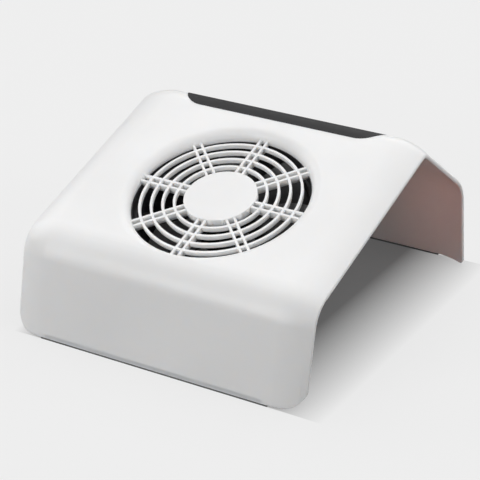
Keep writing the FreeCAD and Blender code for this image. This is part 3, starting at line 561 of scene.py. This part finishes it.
class FanSizes(PropertyGroup):
    blades: count_setting("Blades", "Number of blades", 7, 3, 13)
    tip_radius: size_setting("Tip radius", "From the axis to the blades' tips", 59.2)
    hub_radius: size_setting("Hub radius", "Outer radius of the hub", 21.0)
    root_chord: size_setting("Root chord", "Width of a blade at the hub", 20.0)
    tip_chord: size_setting("Tip chord", "Width of a blade at its tip", 42.0)


class ControlSizes(PropertyGroup):
    knob_radius: size_setting("Knob radius", "Radius over the knurls", 8.2)
    knob_top: size_setting("Knob height", "From the leg to the knob's top", 5.8)
    knurls: count_setting("Knurls", "Grip ribs round the knob", 24, 8, 60)
    dial_marks: count_setting("Dial marks", "Marks round the knob", 11, 2, 31)


class BagSizes(PropertyGroup):
    neck_radius: size_setting("Neck", "Radius of the cloth round the collar", 66.4)
    floor: size_setting("Floor", "Height of the bag's underside over the table", 6.4)
    pleats: count_setting("Pleats", "Gathers at the neck", 44, 8, 120)
    settle_frames: count_setting("Settling", "Steps of the cloth's fall", 26, 1, 80)


class StageLooks(PropertyGroup):
    floor_colour: colour_setting("Floor", "Colour of the studio floor", (0.12, 0.12, 0.12))
    floor_glow: level_setting("Floor glow", "Light that the floor gives off", 0.735)
    # Glow of the floor inside its painted shadow under the arch; lower than the floor glow, it paints
    # the arch's shadow onto the floor.
    painted_shadow_glow: level_setting("Shade glow", "Light that the floor gives off under the arch", 0.08)
    panel_share: level_setting("Panels", "Share of the panels' full power", 1.0)
    bounce_power: level_setting("Bounce", "Power of the warm light under the arch in watts", 0.011)
    sky_strength: level_setting("Fill", "Strength of the even light all round", 0.05)


# ---- pieces --------------------------------------------------------------------------------------

class DUST_OT_finishes(Operator):
    """Make every finish and put it on the CAD pieces that stay"""
    bl_idname = "dust_collector.finishes"
    bl_label = "Finishes"

    def execute(self, context):
        FINISHES.update(make_finishes(context.scene.dust_looks))
        for node in frame["nodes"].values():
            for slot in node.material_slots:
                slot.material = FINISHES[slot.material.name.split(".")[0]]
        return {"FINISHED"}


class DUST_OT_shell(Operator):
    """Arch with its grille in one moulding, and the inlay strip over its peak"""
    bl_idname = "dust_collector.shell"
    bl_label = "Shell and inlay"

    def execute(self, context):
        shell = merged_copy("top_shell")
        shade(shell, 30.0)
        modify(shell, "WEIGHTED_NORMAL", mode="FACE_AREA", keep_sharp=True, weight=50)
        hand_over(shell, "arch_shell", HOUSING, "white_shell", FINISHES["white_shell"], "top_shell")

        inlay = merged_copy("inlay_strip")
        soften(inlay, 0.35, 3, 50.0)
        shade(inlay, 50.0)
        modify(inlay, "WEIGHTED_NORMAL", mode="FACE_AREA", keep_sharp=True, weight=50)
        hand_over(inlay, "peak_inlay", HOUSING, "smoked_panel", FINISHES["smoked_panel"], "inlay_strip")
        return {"FINISHED"}


class DUST_OT_impeller(Operator):
    """Impeller with twisted, cambered blades on a cup-shaped hub"""
    bl_idname = "dust_collector.impeller"
    bl_label = "Impeller"

    ROOT_R = 19.6
    STEPS = 9
    CHORD_STEPS = 10
    ROOT_PITCH = 40.0
    TIP_PITCH = 24.0
    MIDDLE = -22.6
    CAMBER = 0.09
    THICKNESS = 1.5
    HUB_BOTTOM = -32.5
    HUB_TOP = -12.0
    HUB_WALL = 1.7
    HUB_FACE = 2.1
    # Widths and depths of the steps turned in the hub's face, from its edge inwards.
    HUB_STEPS = ((5.0, 0.0), (0.6, -0.6), (8.0, 0.0), (0.4, 0.3))

    def blade(self, sizes):
        root = sizes.root_chord / MM
        tip = sizes.tip_chord / MM
        tip_r = sizes.tip_radius / MM
        deselect_all()
        bpy.ops.mesh.primitive_grid_add(x_subdivisions=1, y_subdivisions=self.CHORD_STEPS, size=1.0)
        blade = bpy.context.object
        step = (tip_r - self.ROOT_R) / self.STEPS
        blade.scale = (step * MM, root * MM, 1.0)
        blade.location = ((self.ROOT_R + step / 2) * MM, 0.0, 0.0)
        placed()
        half = root / 2
        edit("VERT")
        for row in range(1, self.CHORD_STEPS):
            y = -half + row * root / self.CHORD_STEPS
            pick("VERT", lambda p: abs(p.y - y) < 0.1)
            push(0.0, 0.0, self.CAMBER * root * (1 - (y / half) ** 2))
        turn = math.radians(self.ROOT_PITCH - self.TIP_PITCH) / self.STEPS
        centre = (0.0, 0.0, 0.0)
        bpy.ops.mesh.select_all(action="SELECT")
        bpy.ops.transform.rotate(value=-math.radians(self.ROOT_PITCH), orient_axis="X",
                                 center_override=centre)
        edge_x = self.ROOT_R + step
        chord = root
        pick("EDGE", lambda a, b: min(a.x, b.x) > edge_x - 0.01)
        for n in range(1, self.STEPS):
            wider = root + (tip - root) * math.sin(math.pi / 2 * n / (self.STEPS - 1))
            extrude(step, 0.0, 0.0)
            stretch(1.0, wider / chord, wider / chord, centre)
            bpy.ops.transform.rotate(value=turn, orient_axis="X", center_override=centre)
            chord = wider
        done()
        modify(blade, "SOLIDIFY", thickness=self.THICKNESS * MM, offset=0.0)
        soften(blade, 0.6, 3, 60.0)
        return put(blade, Matrix.Translation((0.0, 0.0, self.MIDDLE * MM)))

    def hub(self, sizes):
        radius = sizes.hub_radius / MM
        hub = cylinder(radius, self.HUB_BOTTOM, self.HUB_TOP, 72)
        edit()
        pick("FACE", lambda p, n: n.z < -0.9)
        inset(self.HUB_WALL)
        extrude(0.0, 0.0, self.HUB_TOP - self.HUB_FACE - self.HUB_BOTTOM)
        pick("FACE", lambda p, n: n.z > 0.9 and p.z > self.HUB_TOP - 0.1)
        for width, depth in self.HUB_STEPS:
            inset(width, depth)
        done()
        soften(hub, 0.9, 4, 60.0)
        return hub

    def execute(self, context):
        sizes = context.scene.dust_fan
        blade = self.blade(sizes)
        pieces = [self.hub(sizes), blade] + turned(blade, sizes.blades)
        impeller = outward(joined(pieces))
        put(impeller, ramp_frame())
        shade(impeller, 40.0)
        hand_over(impeller, "fan_impeller", ROTOR, "fan_black", FINISHES["fan_black"], "impeller")
        return {"FINISHED"}


class DUST_OT_knob(Operator):
    """Knurled speed knob with a pointer, and the dial marks round it"""
    bl_idname = "dust_collector.knob"
    bl_label = "Speed knob"

    SKIRT = 0.5
    FACE_EDGE = 0.9
    GROOVE = (0.12, -0.45)
    # Share of the way from one rib to the next that the groove takes.
    GROOVE_SHARE = 0.5
    # Widths and depths of the steps in the knob's face, from its edge inwards.
    FACE_STEPS = ((1.1, 0.0), (0.5, -0.45), (3.0, 0.0))
    POINTER = (0.9, 4.6)
    MARK_AT = 11.6
    MARK_WIDTH = 0.55
    MARK_LENGTHS = (2.4, 1.5)
    SWEEP = 270.0

    def in_groove(self, place, normal, step):
        """Whether a face of the knob's side lies between two ribs."""
        angle = math.degrees(math.atan2(place.y, place.x))
        return abs(normal.z) < 0.1 and angle % step < self.GROOVE_SHARE * step

    def execute(self, context):
        sizes = context.scene.dust_controls
        radius = sizes.knob_radius / MM
        top = sizes.knob_top / MM
        sides = sizes.knurls * 4
        knob = cylinder(radius, self.SKIRT, top, sides)
        edit()
        pick("FACE", lambda p, n: n.z > 0.9)
        inset(self.FACE_EDGE)
        step = 360.0 / sizes.knurls
        pick("FACE", lambda p, n: self.in_groove(p, n, step))
        inset(*self.GROOVE)
        pick("FACE", lambda p, n: n.z > 0.9 and p.xy.length < 1.0)
        for width, depth in self.FACE_STEPS:
            inset(width, depth)
        done()
        soften(knob, 0.3, 2, 50.0)
        outward(knob)
        put(knob, leg_frame(KNOB_X))
        shade(knob, 40.0)
        black = FINISHES["black_plastic"]
        hand_over(knob, "speed_knob_cap", KNOB_BODY, "black_plastic", black, "speed_knob")

        pointer = block(*self.POINTER, top - 0.6, top + 0.05, (0.0, -5.0))
        soften(pointer, 0.2, 2)
        put(pointer, leg_frame(KNOB_X))
        hand_over(pointer, "knob_pointer", KNOB_BODY, "white_shell", FINISHES["white_shell"])

        marks = []
        count = sizes.dial_marks
        for n in range(count):
            angle = math.radians(-self.SWEEP / 2 + n * self.SWEEP / (count - 1))
            long_mark, short_mark = self.MARK_LENGTHS
            length = long_mark if n in (0, count - 1) else short_mark
            mark = block(self.MARK_WIDTH, length, -0.06, 0.1, (0.0, -self.MARK_AT))
            soften(mark, 0.06, 2)
            marks.append(put(mark, Matrix.Rotation(angle, 4, "Z")))
        dial = joined(marks)
        put(dial, leg_frame(KNOB_X))
        hand_over(dial, "dial_marks", HOUSING, "black_plastic", black)
        return {"FINISHED"}


class DUST_OT_rocker(Operator):
    """Rocker switch cap with its on and off marks"""
    bl_idname = "dust_collector.rocker"
    bl_label = "Switch rocker"

    HALF_X = 4.8
    HALF_Y = 7.1
    MIDDLE_TOP = 2.2
    END_TOP = 3.6
    BOTTOM = -5.0
    HEEL = 1.8
    BEND_Y = 4.0
    BEND_SHARE = 0.75
    MARK_Y = 4.9
    LINE = (0.7, 3.0)
    CIRCLE = (1.35, 0.28)
    PIN = -2.5
    TILT = 8.0

    def execute(self, context):
        cap = block(2 * self.HALF_X, 2 * self.HALF_Y, self.BOTTOM, self.END_TOP)
        edit()
        for cut_y in (0.0, -self.BEND_Y, self.BEND_Y):
            bpy.ops.mesh.select_all(action="SELECT")
            bpy.ops.mesh.bisect(plane_co=(0.0, cut_y * MM, 0.0), plane_no=(0.0, 1.0, 0.0))
        pick("VERT", lambda p: abs(p.y) < 0.1 and p.z > 0)
        push(0.0, 0.0, self.MIDDLE_TOP - self.END_TOP)
        pick("VERT", lambda p: abs(abs(p.y) - self.BEND_Y) < 0.1 and p.z > 0)
        push(0.0, 0.0, self.BEND_SHARE * (self.MIDDLE_TOP - self.END_TOP))
        pick("VERT", lambda p: abs(p.y) > self.HALF_Y - 0.1 and p.z < 0)
        push(0.0, 0.0, self.HEEL)
        done()
        soften(cap, 0.5, 3, 30.0)
        shade(cap, 40.0)

        on_mark = block(*self.LINE, -0.25, 0.2)
        soften(on_mark, 0.12, 2)
        deselect_all()
        ring_r, ring_w = self.CIRCLE
        bpy.ops.mesh.primitive_torus_add(major_radius=ring_r * MM, minor_radius=ring_w * MM,
                                         major_segments=48, minor_segments=10)
        off_mark = placed()
        bend_top = blended(self.END_TOP, self.MIDDLE_TOP, self.BEND_SHARE)
        slope = (self.END_TOP - bend_top) / (self.HALF_Y - self.BEND_Y)
        mark_top = bend_top + slope * (self.MARK_Y - self.BEND_Y)
        for side, mark in ((-1, on_mark), (1, off_mark)):
            place = Matrix.Translation((0.0, side * self.MARK_Y * MM, mark_top * MM))
            put(mark, place @ Matrix.Rotation(side * math.atan(slope), 4, "X"))
        marks = joined([on_mark, off_mark])

        tilt = (Matrix.Translation((0.0, 0.0, self.PIN * MM))
                @ Matrix.Rotation(math.radians(self.TILT), 4, "X")
                @ Matrix.Translation((0.0, 0.0, -self.PIN * MM)))
        put(cap, leg_frame(SWITCH_X) @ tilt)
        put(marks, leg_frame(SWITCH_X) @ tilt)
        black = FINISHES["black_plastic"]
        hand_over(cap, "rocker_cap", ROCKER_BODY, "black_plastic", black, "switch_rocker")
        hand_over(marks, "rocker_marks", ROCKER_BODY, "white_shell", FINISHES["white_shell"])
        return {"FINISHED"}


class DUST_OT_screws(Operator):
    """Pan-head screws with cross recesses, for the fan and the electronics cover"""
    bl_idname = "dust_collector.screws"
    bl_label = "Screws"

    HEAD_R = 2.8
    HEAD_H = 1.8
    SHANK_R = 1.2
    SLOT = (0.8, 3.0)
    SLOT_DEPTH = 1.0

    def screw(self, seat, tip):
        """Screw with its head below the seat and its tip above."""
        head = cylinder(self.HEAD_R, seat - self.HEAD_H, seat, 32)
        edit()
        pick("FACE", lambda p, n: n.z > 0.9)
        inset(self.HEAD_R - self.SHANK_R)
        extrude(0.0, 0.0, tip - seat)
        done()
        soften(head, 0.55, 4, 60.0)
        cutters = []
        for quarter in (0.0, math.pi / 2):
            face = seat - self.HEAD_H
            slot = block(*self.SLOT, face - 0.4, face + self.SLOT_DEPTH)
            cutters.append(put(slot, Matrix.Rotation(quarter, 4, "Z")))
        for cutter in cutters:
            modify(head, "BOOLEAN", object=cutter, operation="DIFFERENCE", solver="EXACT")
            bpy.data.objects.remove(cutter)
        return head

    def group(self, seat, tip, places):
        """The same screw at each place, as one piece."""
        first = self.screw(seat, tip)
        copies = [duplicate(first, place) for place in places]
        bpy.data.objects.remove(first)
        return shade(joined(copies), 40.0)

    def execute(self, context):
        steel = FINISHES["screw_steel"]
        fan_places = [ramp_frame() @ Matrix.Translation((sx * BOSS_AT * MM, sy * BOSS_AT * MM, 0.0))
                      for sx in (-1, 1) for sy in (-1, 1)]
        fan_screws = self.group(FAN_SCREW_SEAT, FAN_SCREW_TIP, fan_places)
        hand_over(fan_screws, "fan_mount_screws", HOUSING, "screw_steel", steel, "fan_screws")

        cover_places = [leg_frame(x) @ Matrix.Translation((0.0, y * MM, 0.0)) for x, y in COVER_SCREWS]
        cover_screws = self.group(COVER_SCREW_SEAT, COVER_SCREW_TIP, cover_places)
        hand_over(cover_screws, "cover_fixing_screws", HOUSING, "screw_steel", steel, "cover_screws")
        return {"FINISHED"}


def blended(a, b, t):
    return a + (b - a) * t


class DUST_OT_bag(Operator):
    """Dust bag: a gathered cloth sack that sags below the fan's collar"""
    bl_idname = "dust_collector.bag"
    bl_label = "Dust bag"

    AROUND = 160
    # Height over the ramp's face and amount over the neck's radius, from the lip down.
    NECK = ((-38.6, 1.2), (-40.0, 0.6), (-41.4, 0.1), (-42.9, -0.5), (-44.4, -0.1), (-46.0, 0.2),
            (-48.0, 0.3), (-50.2, 0.4))
    ROWS = 34
    BELLY = (0.0, -28.0, 30.0)
    BASE_Y = -31.0
    BULGE = -4.2
    SQUARENESS = 3.4
    FINE_STEPS = 400
    SEAM_AT = 0.62
    WELT = 2.0
    PLEAT = 0.38
    PLEAT_FADE = 1.5
    NECK_FOLD = 0.3
    BODY_FOLD = 1.9
    # Share, number and phase of the broad folds round the bag.
    FOLDS = ((0.45, 11, 1.3), (0.35, 7, 0.0), (0.3, 17, 0.4))
    STUFF = {"quality": 6, "mass": 0.0004, "tension_stiffness": 12.0, "compression_stiffness": 12.0,
             "shear_stiffness": 4.0, "bending_stiffness": 0.02, "use_pressure": True,
             "uniform_pressure_force": 0.02}
    TABLE_SIZE = 0.6
    TABLE_GAP = 1.2
    TOUCH_GAP = 1.0
    SAG_CAP = 5.0
    CLOTH = 0.5

    def profile(self):
        """Shares of the neck's radius and the bag's depth, evenly spaced down and in to the middle."""
        power = 2.0 / self.SQUARENESS
        fine = self.FINE_STEPS
        curve = []
        for n in range(fine + 1):
            angle = math.pi / 2 * n / fine
            curve.append((math.cos(angle) ** power, math.sin(angle) ** power))
        curve[-1] = (0.0, 1.0)
        lengths = [0.0]
        for a, b in zip(curve, curve[1:]):
            lengths.append(lengths[-1] + math.dist(a, b))
        shares = []
        at = 0
        for row in range(1, self.ROWS):
            wanted = lengths[-1] * row / self.ROWS
            while lengths[at + 1] < wanted:
                at += 1
            shares.append(curve[at])
        return shares

    def rings(self, sizes):
        """Rings of points from the lip down, and then in over the bottom."""
        ramp = ramp_frame()
        neck_r = sizes.neck_radius / MM
        rings = []
        for depth, wider in self.NECK:
            place = ramp @ Matrix.Translation((0, 0, depth * MM))
            rings.append(self.ring(place, neck_r + wider, self.PLEAT, self.NECK_FOLD, sizes.pleats))
        low = ramp @ Vector((0.0, 0.0, self.NECK[-1][0] * MM)) / MM
        base = Vector((0.0, self.BASE_Y, sizes.floor / MM))
        slope = ramp.to_euler().x
        seam_row = round(self.SEAM_AT * self.ROWS)
        for row, (wide, deep) in enumerate(self.profile(), 1):
            centre = self.bezier(low, Vector(self.BELLY), base, deep)
            radius = wide * (neck_r + self.NECK[-1][1] + self.BULGE * math.sin(math.pi * deep))
            if row == seam_row:
                radius += self.WELT
                centre.z -= self.WELT / 2
            lean = slope * (1.0 - deep) ** 0.8
            place = Matrix.Translation(centre * MM) @ Matrix.Rotation(lean, 4, "X")
            pleat = self.PLEAT * max(0.0, 1.0 - self.PLEAT_FADE * deep)
            swell = math.sin(math.pi * min(1.0, deep * 0.8))
            fold = wide * blended(self.NECK_FOLD, self.BODY_FOLD, swell)
            rings.append(self.ring(place, radius, pleat, fold, sizes.pleats))
        return rings

    @staticmethod
    def bezier(a, b, c, t):
        return a * (1 - t) ** 2 + b * (2 * t * (1 - t)) + c * t ** 2

    def ring(self, place, radius, pleat, fold, pleats):
        """A ring of points with fine gathers and broad folds."""
        points = []
        for k in range(self.AROUND):
            angle = 2 * math.pi * k / self.AROUND
            broad = sum(share * math.sin(number * angle + phase) for share, number, phase in self.FOLDS)
            r = radius + pleat * math.sin(pleats * angle) + fold * broad
            points.append(place @ Vector((r * math.cos(angle) * MM, r * math.sin(angle) * MM, 0.0)))
        return points

    def mesh(self, sizes):
        rings = self.rings(sizes)
        count = self.AROUND
        points = [p for ring in rings for p in ring]
        faces = []
        for row in range(len(rings) - 1):
            for k in range(count):
                after = (k + 1) % count
                faces.append((row * count + k, (row + 1) * count + k,
                              (row + 1) * count + after, row * count + after))
        centre = sum(rings[-1], Vector()) / count
        points.append(centre)
        last = (len(rings) - 1) * count
        faces += [(last + k, len(points) - 1, last + (k + 1) % count) for k in range(count)]
        mesh = bpy.data.meshes.new("dust_sack")
        mesh.from_pydata(points, [], faces)
        mesh.update()
        lengths = [0.0]
        for row in range(1, len(rings)):
            lengths.append(lengths[-1] + (rings[row][0] - rings[row - 1][0]).length)
        round_it = 2 * math.pi * sizes.neck_radius
        layer = mesh.uv_layers.new(name="cut")
        for face in mesh.polygons:
            for loop in face.loop_indices:
                index = mesh.loops[loop].vertex_index
                row, k = divmod(index, count)
                if row >= len(rings):
                    row, k = len(rings) - 1, face.index % count
                if k == 0 and face.index % count == count - 1:
                    k = count
                layer.data[loop].uv = (k / count * round_it, lengths[row])
        return mesh

    def settle(self, bag, sizes):
        """Lets the cloth fall, held at its neck, onto a level just clear of the table."""
        held = bag.vertex_groups.new(name="held")
        rows = len(self.NECK)
        held.add(list(range(rows * self.AROUND)), 1.0, "REPLACE")
        deselect_all()
        level = sizes.floor - self.TABLE_GAP * MM
        bpy.ops.mesh.primitive_plane_add(size=self.TABLE_SIZE, location=(0.0, 0.0, level))
        table = bpy.context.object
        bpy.ops.object.modifier_add(type="COLLISION")
        table.collision.thickness_outer = self.TOUCH_GAP * MM
        activate(bag)
        bpy.ops.object.modifier_add(type="CLOTH")
        cloth = bag.modifiers[-1]
        cloth.settings.vertex_group_mass = "held"
        for name, value in self.STUFF.items():
            setattr(cloth.settings, name, value)
        cloth.collision_settings.distance_min = self.TOUCH_GAP * MM
        cloth.collision_settings.use_self_collision = False
        cloth.point_cache.frame_start = 1
        cloth.point_cache.frame_end = sizes.settle_frames
        for step in range(1, sizes.settle_frames + 1):
            bpy.context.scene.frame_set(step)
        before = [vertex.co.copy() for vertex in bag.data.vertices]
        bpy.ops.object.modifier_apply(modifier=cloth.name)
        bpy.context.scene.frame_set(1)
        bpy.data.objects.remove(table)
        for vertex, start in zip(bag.data.vertices, before):
            moved = vertex.co - start
            if moved.length > self.SAG_CAP * MM:
                vertex.co = start + moved.normalized() * self.SAG_CAP * MM

    def execute(self, context):
        sizes = context.scene.dust_bag
        bag = bpy.data.objects.new("dust_sack", self.mesh(sizes))
        context.scene.collection.objects.link(bag)
        activate(bag)
        self.settle(bag, sizes)
        modify(bag, "SUBSURF", levels=1, render_levels=1)
        modify(bag, "SOLIDIFY", thickness=self.CLOTH * MM, offset=-1.0)
        outward(bag)
        activate(bag)
        bpy.ops.object.shade_smooth()
        hand_over(bag, "dust_sack", HOUSING, "bag_cloth", FINISHES["bag_cloth"], "dust_bag")
        return {"FINISHED"}


class DUST_OT_elastic(Operator):
    """Elastic round the bag's neck, with the cloth's ruffles pressed into it"""
    bl_idname = "dust_collector.elastic"
    bl_label = "Bag elastic"

    DEPTH = -43.0
    MAJOR = 67.9
    MINOR = 1.25
    # Shares of the elastic's full height that it takes by turns round the neck.
    PRESSED = (0.9, 1.06)

    def execute(self, context):
        deselect_all()
        bpy.ops.mesh.primitive_torus_add(major_radius=self.MAJOR * MM, minor_radius=self.MINOR * MM,
                                         major_segments=352, minor_segments=14, generate_uvs=True,
                                         location=(0.0, 0.0, self.DEPTH * MM))
        ring = placed()
        pleats = context.scene.dust_bag.pleats
        edit("VERT")
        for phase, size in enumerate(self.PRESSED):
            pick("VERT", lambda p: round(math.atan2(p.y, p.x) / math.pi * pleats) % 2 == phase)
            stretch(1.0, 1.0, size, (0.0, 0.0, self.DEPTH))
        done()
        put(ring, ramp_frame())
        shade(ring, 60.0)
        hand_over(ring, "neck_elastic", HOUSING, "elastic", FINISHES["elastic"], "bag_elastic")
        return {"FINISHED"}


class DUST_OT_stage(Operator):
    """Pale floor with a painted shadow under the arch, six light panels, a weak warm light under the
    arch, and the camera
    """
    bl_idname = "dust_collector.stage"
    bl_label = "Stage"

    AZIMUTH = 30.204
    ELEVATION = 25.188
    ROLL = 0.467
    TARGET = Vector((0.0, -29.67, 39.81))
    DISTANCE = 1224.6
    ASIDE = -7.54
    RAISED = -14.40
    FOCAL_PIXELS = 1723.94
    IMAGE_PIXELS = 480.0
    SENSOR = 36.0
    FLOOR_SIZE = 14.0
    FLOOR_Y = 3.0
    # Where the floor's glow fades into its painted shadow under the arch: along the arch to the right
    # and the left, and at the legs.
    RIGHT_FADE = (66.0, 131.0)
    LEFT_FADE = (-72.0, -114.0)
    LEG_FADE = (132.5, 134.5)
    # Name, watts, width and height, place in metres; all look at AIM.
    PANELS = (("overhead", 38.0, (3.0, 3.0), (0.0, 0.5, 2.0)),
              ("left_panel", 11.0, (1.6, 1.2), (-1.9, 0.2, 1.0)),
              ("right_panel", 14.0, (1.6, 1.2), (1.9, 0.2, 1.0)),
              ("front_left_panel", 21.0, (1.6, 1.0), (-0.7, -2.0, 0.7)),
              ("front_right_panel", 4.0, (1.6, 1.0), (0.7, -2.0, 0.7)),
              ("back_panel", 13.0, (2.5, 1.2), (0.0, 2.2, 1.4)))
    AIM = (0.0, 0.0, 0.05)
    # Width and height, place and aim of the warm light, in metres.
    BOUNCE = ((0.09, 0.03), (0.07, -0.09, 0.03), (0.095, 0.12, 0.06))
    WARM = (1.0, 0.39, 0.31)
    BOUNCE_SPREAD = 60.0
    SEEN_SKY = 0.855

    def camera(self, scene):
        az, el, roll = (math.radians(a) for a in (self.AZIMUTH, self.ELEVATION, self.ROLL))
        back = Vector((math.sin(az) * math.cos(el), -math.cos(az) * math.cos(el), math.sin(el)))
        level = Vector((math.cos(az), math.sin(az), 0.0))
        rise = back.cross(level)
        right = level * math.cos(roll) + rise * math.sin(roll)
        up = rise * math.cos(roll) - level * math.sin(roll)
        place = self.TARGET + back * self.DISTANCE - right * self.ASIDE - up * self.RAISED
        data = bpy.data.cameras.new("studio_camera")
        data.sensor_width = self.SENSOR
        data.lens = self.FOCAL_PIXELS * self.SENSOR / self.IMAGE_PIXELS
        data.clip_start = 0.05
        camera = bpy.data.objects.new("studio_camera", data)
        scene.collection.objects.link(camera)
        turn = Matrix((right, up, back)).transposed().to_4x4()
        camera.matrix_world = Matrix.Translation(place * MM) @ turn
        scene.camera = camera

    def floor_with_painted_shadow(self, looks):
        """Glowing floor with a painted shadow under the arch: its glow fades out inside the arch's
        footprint.
        """
        finish = Finish("studio_floor", Specular_IOR_Level=0.0, Emission_Color=(1.0, 1.0, 1.0, 1.0))
        finish.tint(finish.noise(3.0), shaded(looks.floor_colour, 0.99), looks.floor_colour)
        finish.gloss(finish.noise(8.0), 0.9, 1.0)
        split = finish.nodes.new("ShaderNodeSeparateXYZ")
        finish.links.new(finish.place, split.inputs["Vector"])
        # Painted shadow mask: 1 outside the arch, falling to 0 in the floor's painted shadow under it.
        across = finish.absolute(split.outputs["Y"])
        right = finish.ranged(split.outputs["X"], 0.0, 1.0, *(x * MM for x in self.RIGHT_FADE))
        left = finish.ranged(split.outputs["X"], 0.0, 1.0, *(x * MM for x in self.LEFT_FADE))
        beside = finish.ranged(across, 0.0, 1.0, *(y * MM for y in self.LEG_FADE))
        ends = finish.combined(left, right, "MAXIMUM")
        glow = finish.combined(ends, beside, "MAXIMUM")
        # Emission runs from the painted shadow's low glow under the arch up to the full floor glow
        # outside.
        strength = finish.ranged(glow, looks.painted_shadow_glow, looks.floor_glow, 0.0, 1.0)
        finish.links.new(strength, finish.shader.inputs["Emission Strength"])
        return finish.material

    def sky(self, scene, looks):
        """White surroundings that are seen as bright as the floor and light the object only faintly."""
        world = bpy.data.worlds.new("studio")
        world.use_nodes = True
        nodes = world.node_tree.nodes
        links = world.node_tree.links
        background = nodes["Background"]
        background.inputs["Color"].default_value = (1.0, 1.0, 1.0, 1.0)
        seen = nodes.new("ShaderNodeLightPath").outputs["Is Camera Ray"]
        level = nodes.new("ShaderNodeMapRange")
        level.inputs["To Min"].default_value = looks.sky_strength
        level.inputs["To Max"].default_value = self.SEEN_SKY
        links.new(seen, level.inputs["Value"])
        links.new(level.outputs["Result"], background.inputs["Strength"])
        scene.world = world

    def panel(self, scene, name, power, size, place, aim):
        data = bpy.data.lights.new(name, "AREA")
        data.shape = "RECTANGLE"
        data.size, data.size_y = size
        data.energy = power
        light = bpy.data.objects.new(name, data)
        scene.collection.objects.link(light)
        light.location = place
        light.rotation_euler = (Vector(aim) - Vector(place)).to_track_quat("-Z", "Y").to_euler()
        return light

    def execute(self, context):
        scene = context.scene
        looks = scene.dust_stage
        self.camera(scene)
        scene.view_settings.view_transform = "Standard"
        scene.view_settings.look = "None"
        deselect_all()
        bpy.ops.mesh.primitive_plane_add(size=self.FLOOR_SIZE, location=(0.0, self.FLOOR_Y, 0.0))
        floor = placed()
        floor.name = "studio_floor"
        floor.data.materials.append(self.floor_with_painted_shadow(looks))
        floor.visible_diffuse = False
        for name, power, size, place in self.PANELS:
            self.panel(scene, name, power * looks.panel_share, size, place, self.AIM)
        bounce = self.panel(scene, "warm_bounce", looks.bounce_power, *self.BOUNCE)
        bounce.data.color = self.WARM
        bounce.data.spread = math.radians(self.BOUNCE_SPREAD)
        lit = bpy.data.collections.new("lit_by_bounce")
        lit.objects.link(bpy.data.objects["arch_shell"])
        bounce.light_linking.receiver_collection = lit
        bounce.visible_camera = False
        self.sky(scene, looks)
        return {"FINISHED"}


OPERATORS = (DUST_OT_finishes, DUST_OT_shell, DUST_OT_impeller, DUST_OT_knob, DUST_OT_rocker,
             DUST_OT_screws, DUST_OT_bag, DUST_OT_elastic, DUST_OT_stage)
SETTINGS = {"dust_looks": ShellLooks, "dust_fan": FanSizes, "dust_controls": ControlSizes,
            "dust_bag": BagSizes, "dust_stage": StageLooks}


class DUST_PT_sidebar(Panel):
    """Sizes, colours and pieces of the dust collector"""
    bl_idname = "DUST_PT_sidebar"
    bl_label = "Dust Collector"
    bl_space_type = "VIEW_3D"
    bl_region_type = "UI"
    bl_category = "Dust Collector"

    def draw(self, context):
        for group in SETTINGS:
            box = self.layout.box()
            for name in SETTINGS[group].__annotations__:
                box.prop(getattr(context.scene, group), name)
        for operator in OPERATORS:
            self.layout.operator(operator.bl_idname)


CLASSES = (*SETTINGS.values(), *OPERATORS, DUST_PT_sidebar)


def register():
    for cls in CLASSES:
        bpy.utils.register_class(cls)
    for name, group in SETTINGS.items():
        setattr(bpy.types.Scene, name, PointerProperty(type=group))


def unregister():
    for name in SETTINGS:
        delattr(bpy.types.Scene, name)
    for cls in reversed(CLASSES):
        bpy.utils.unregister_class(cls)


def main():
    register()
    for operator in OPERATORS:
        group, call = operator.bl_idname.split(".")
        getattr(getattr(bpy.ops, group), call)()


if __name__ == "__main__":
    main()
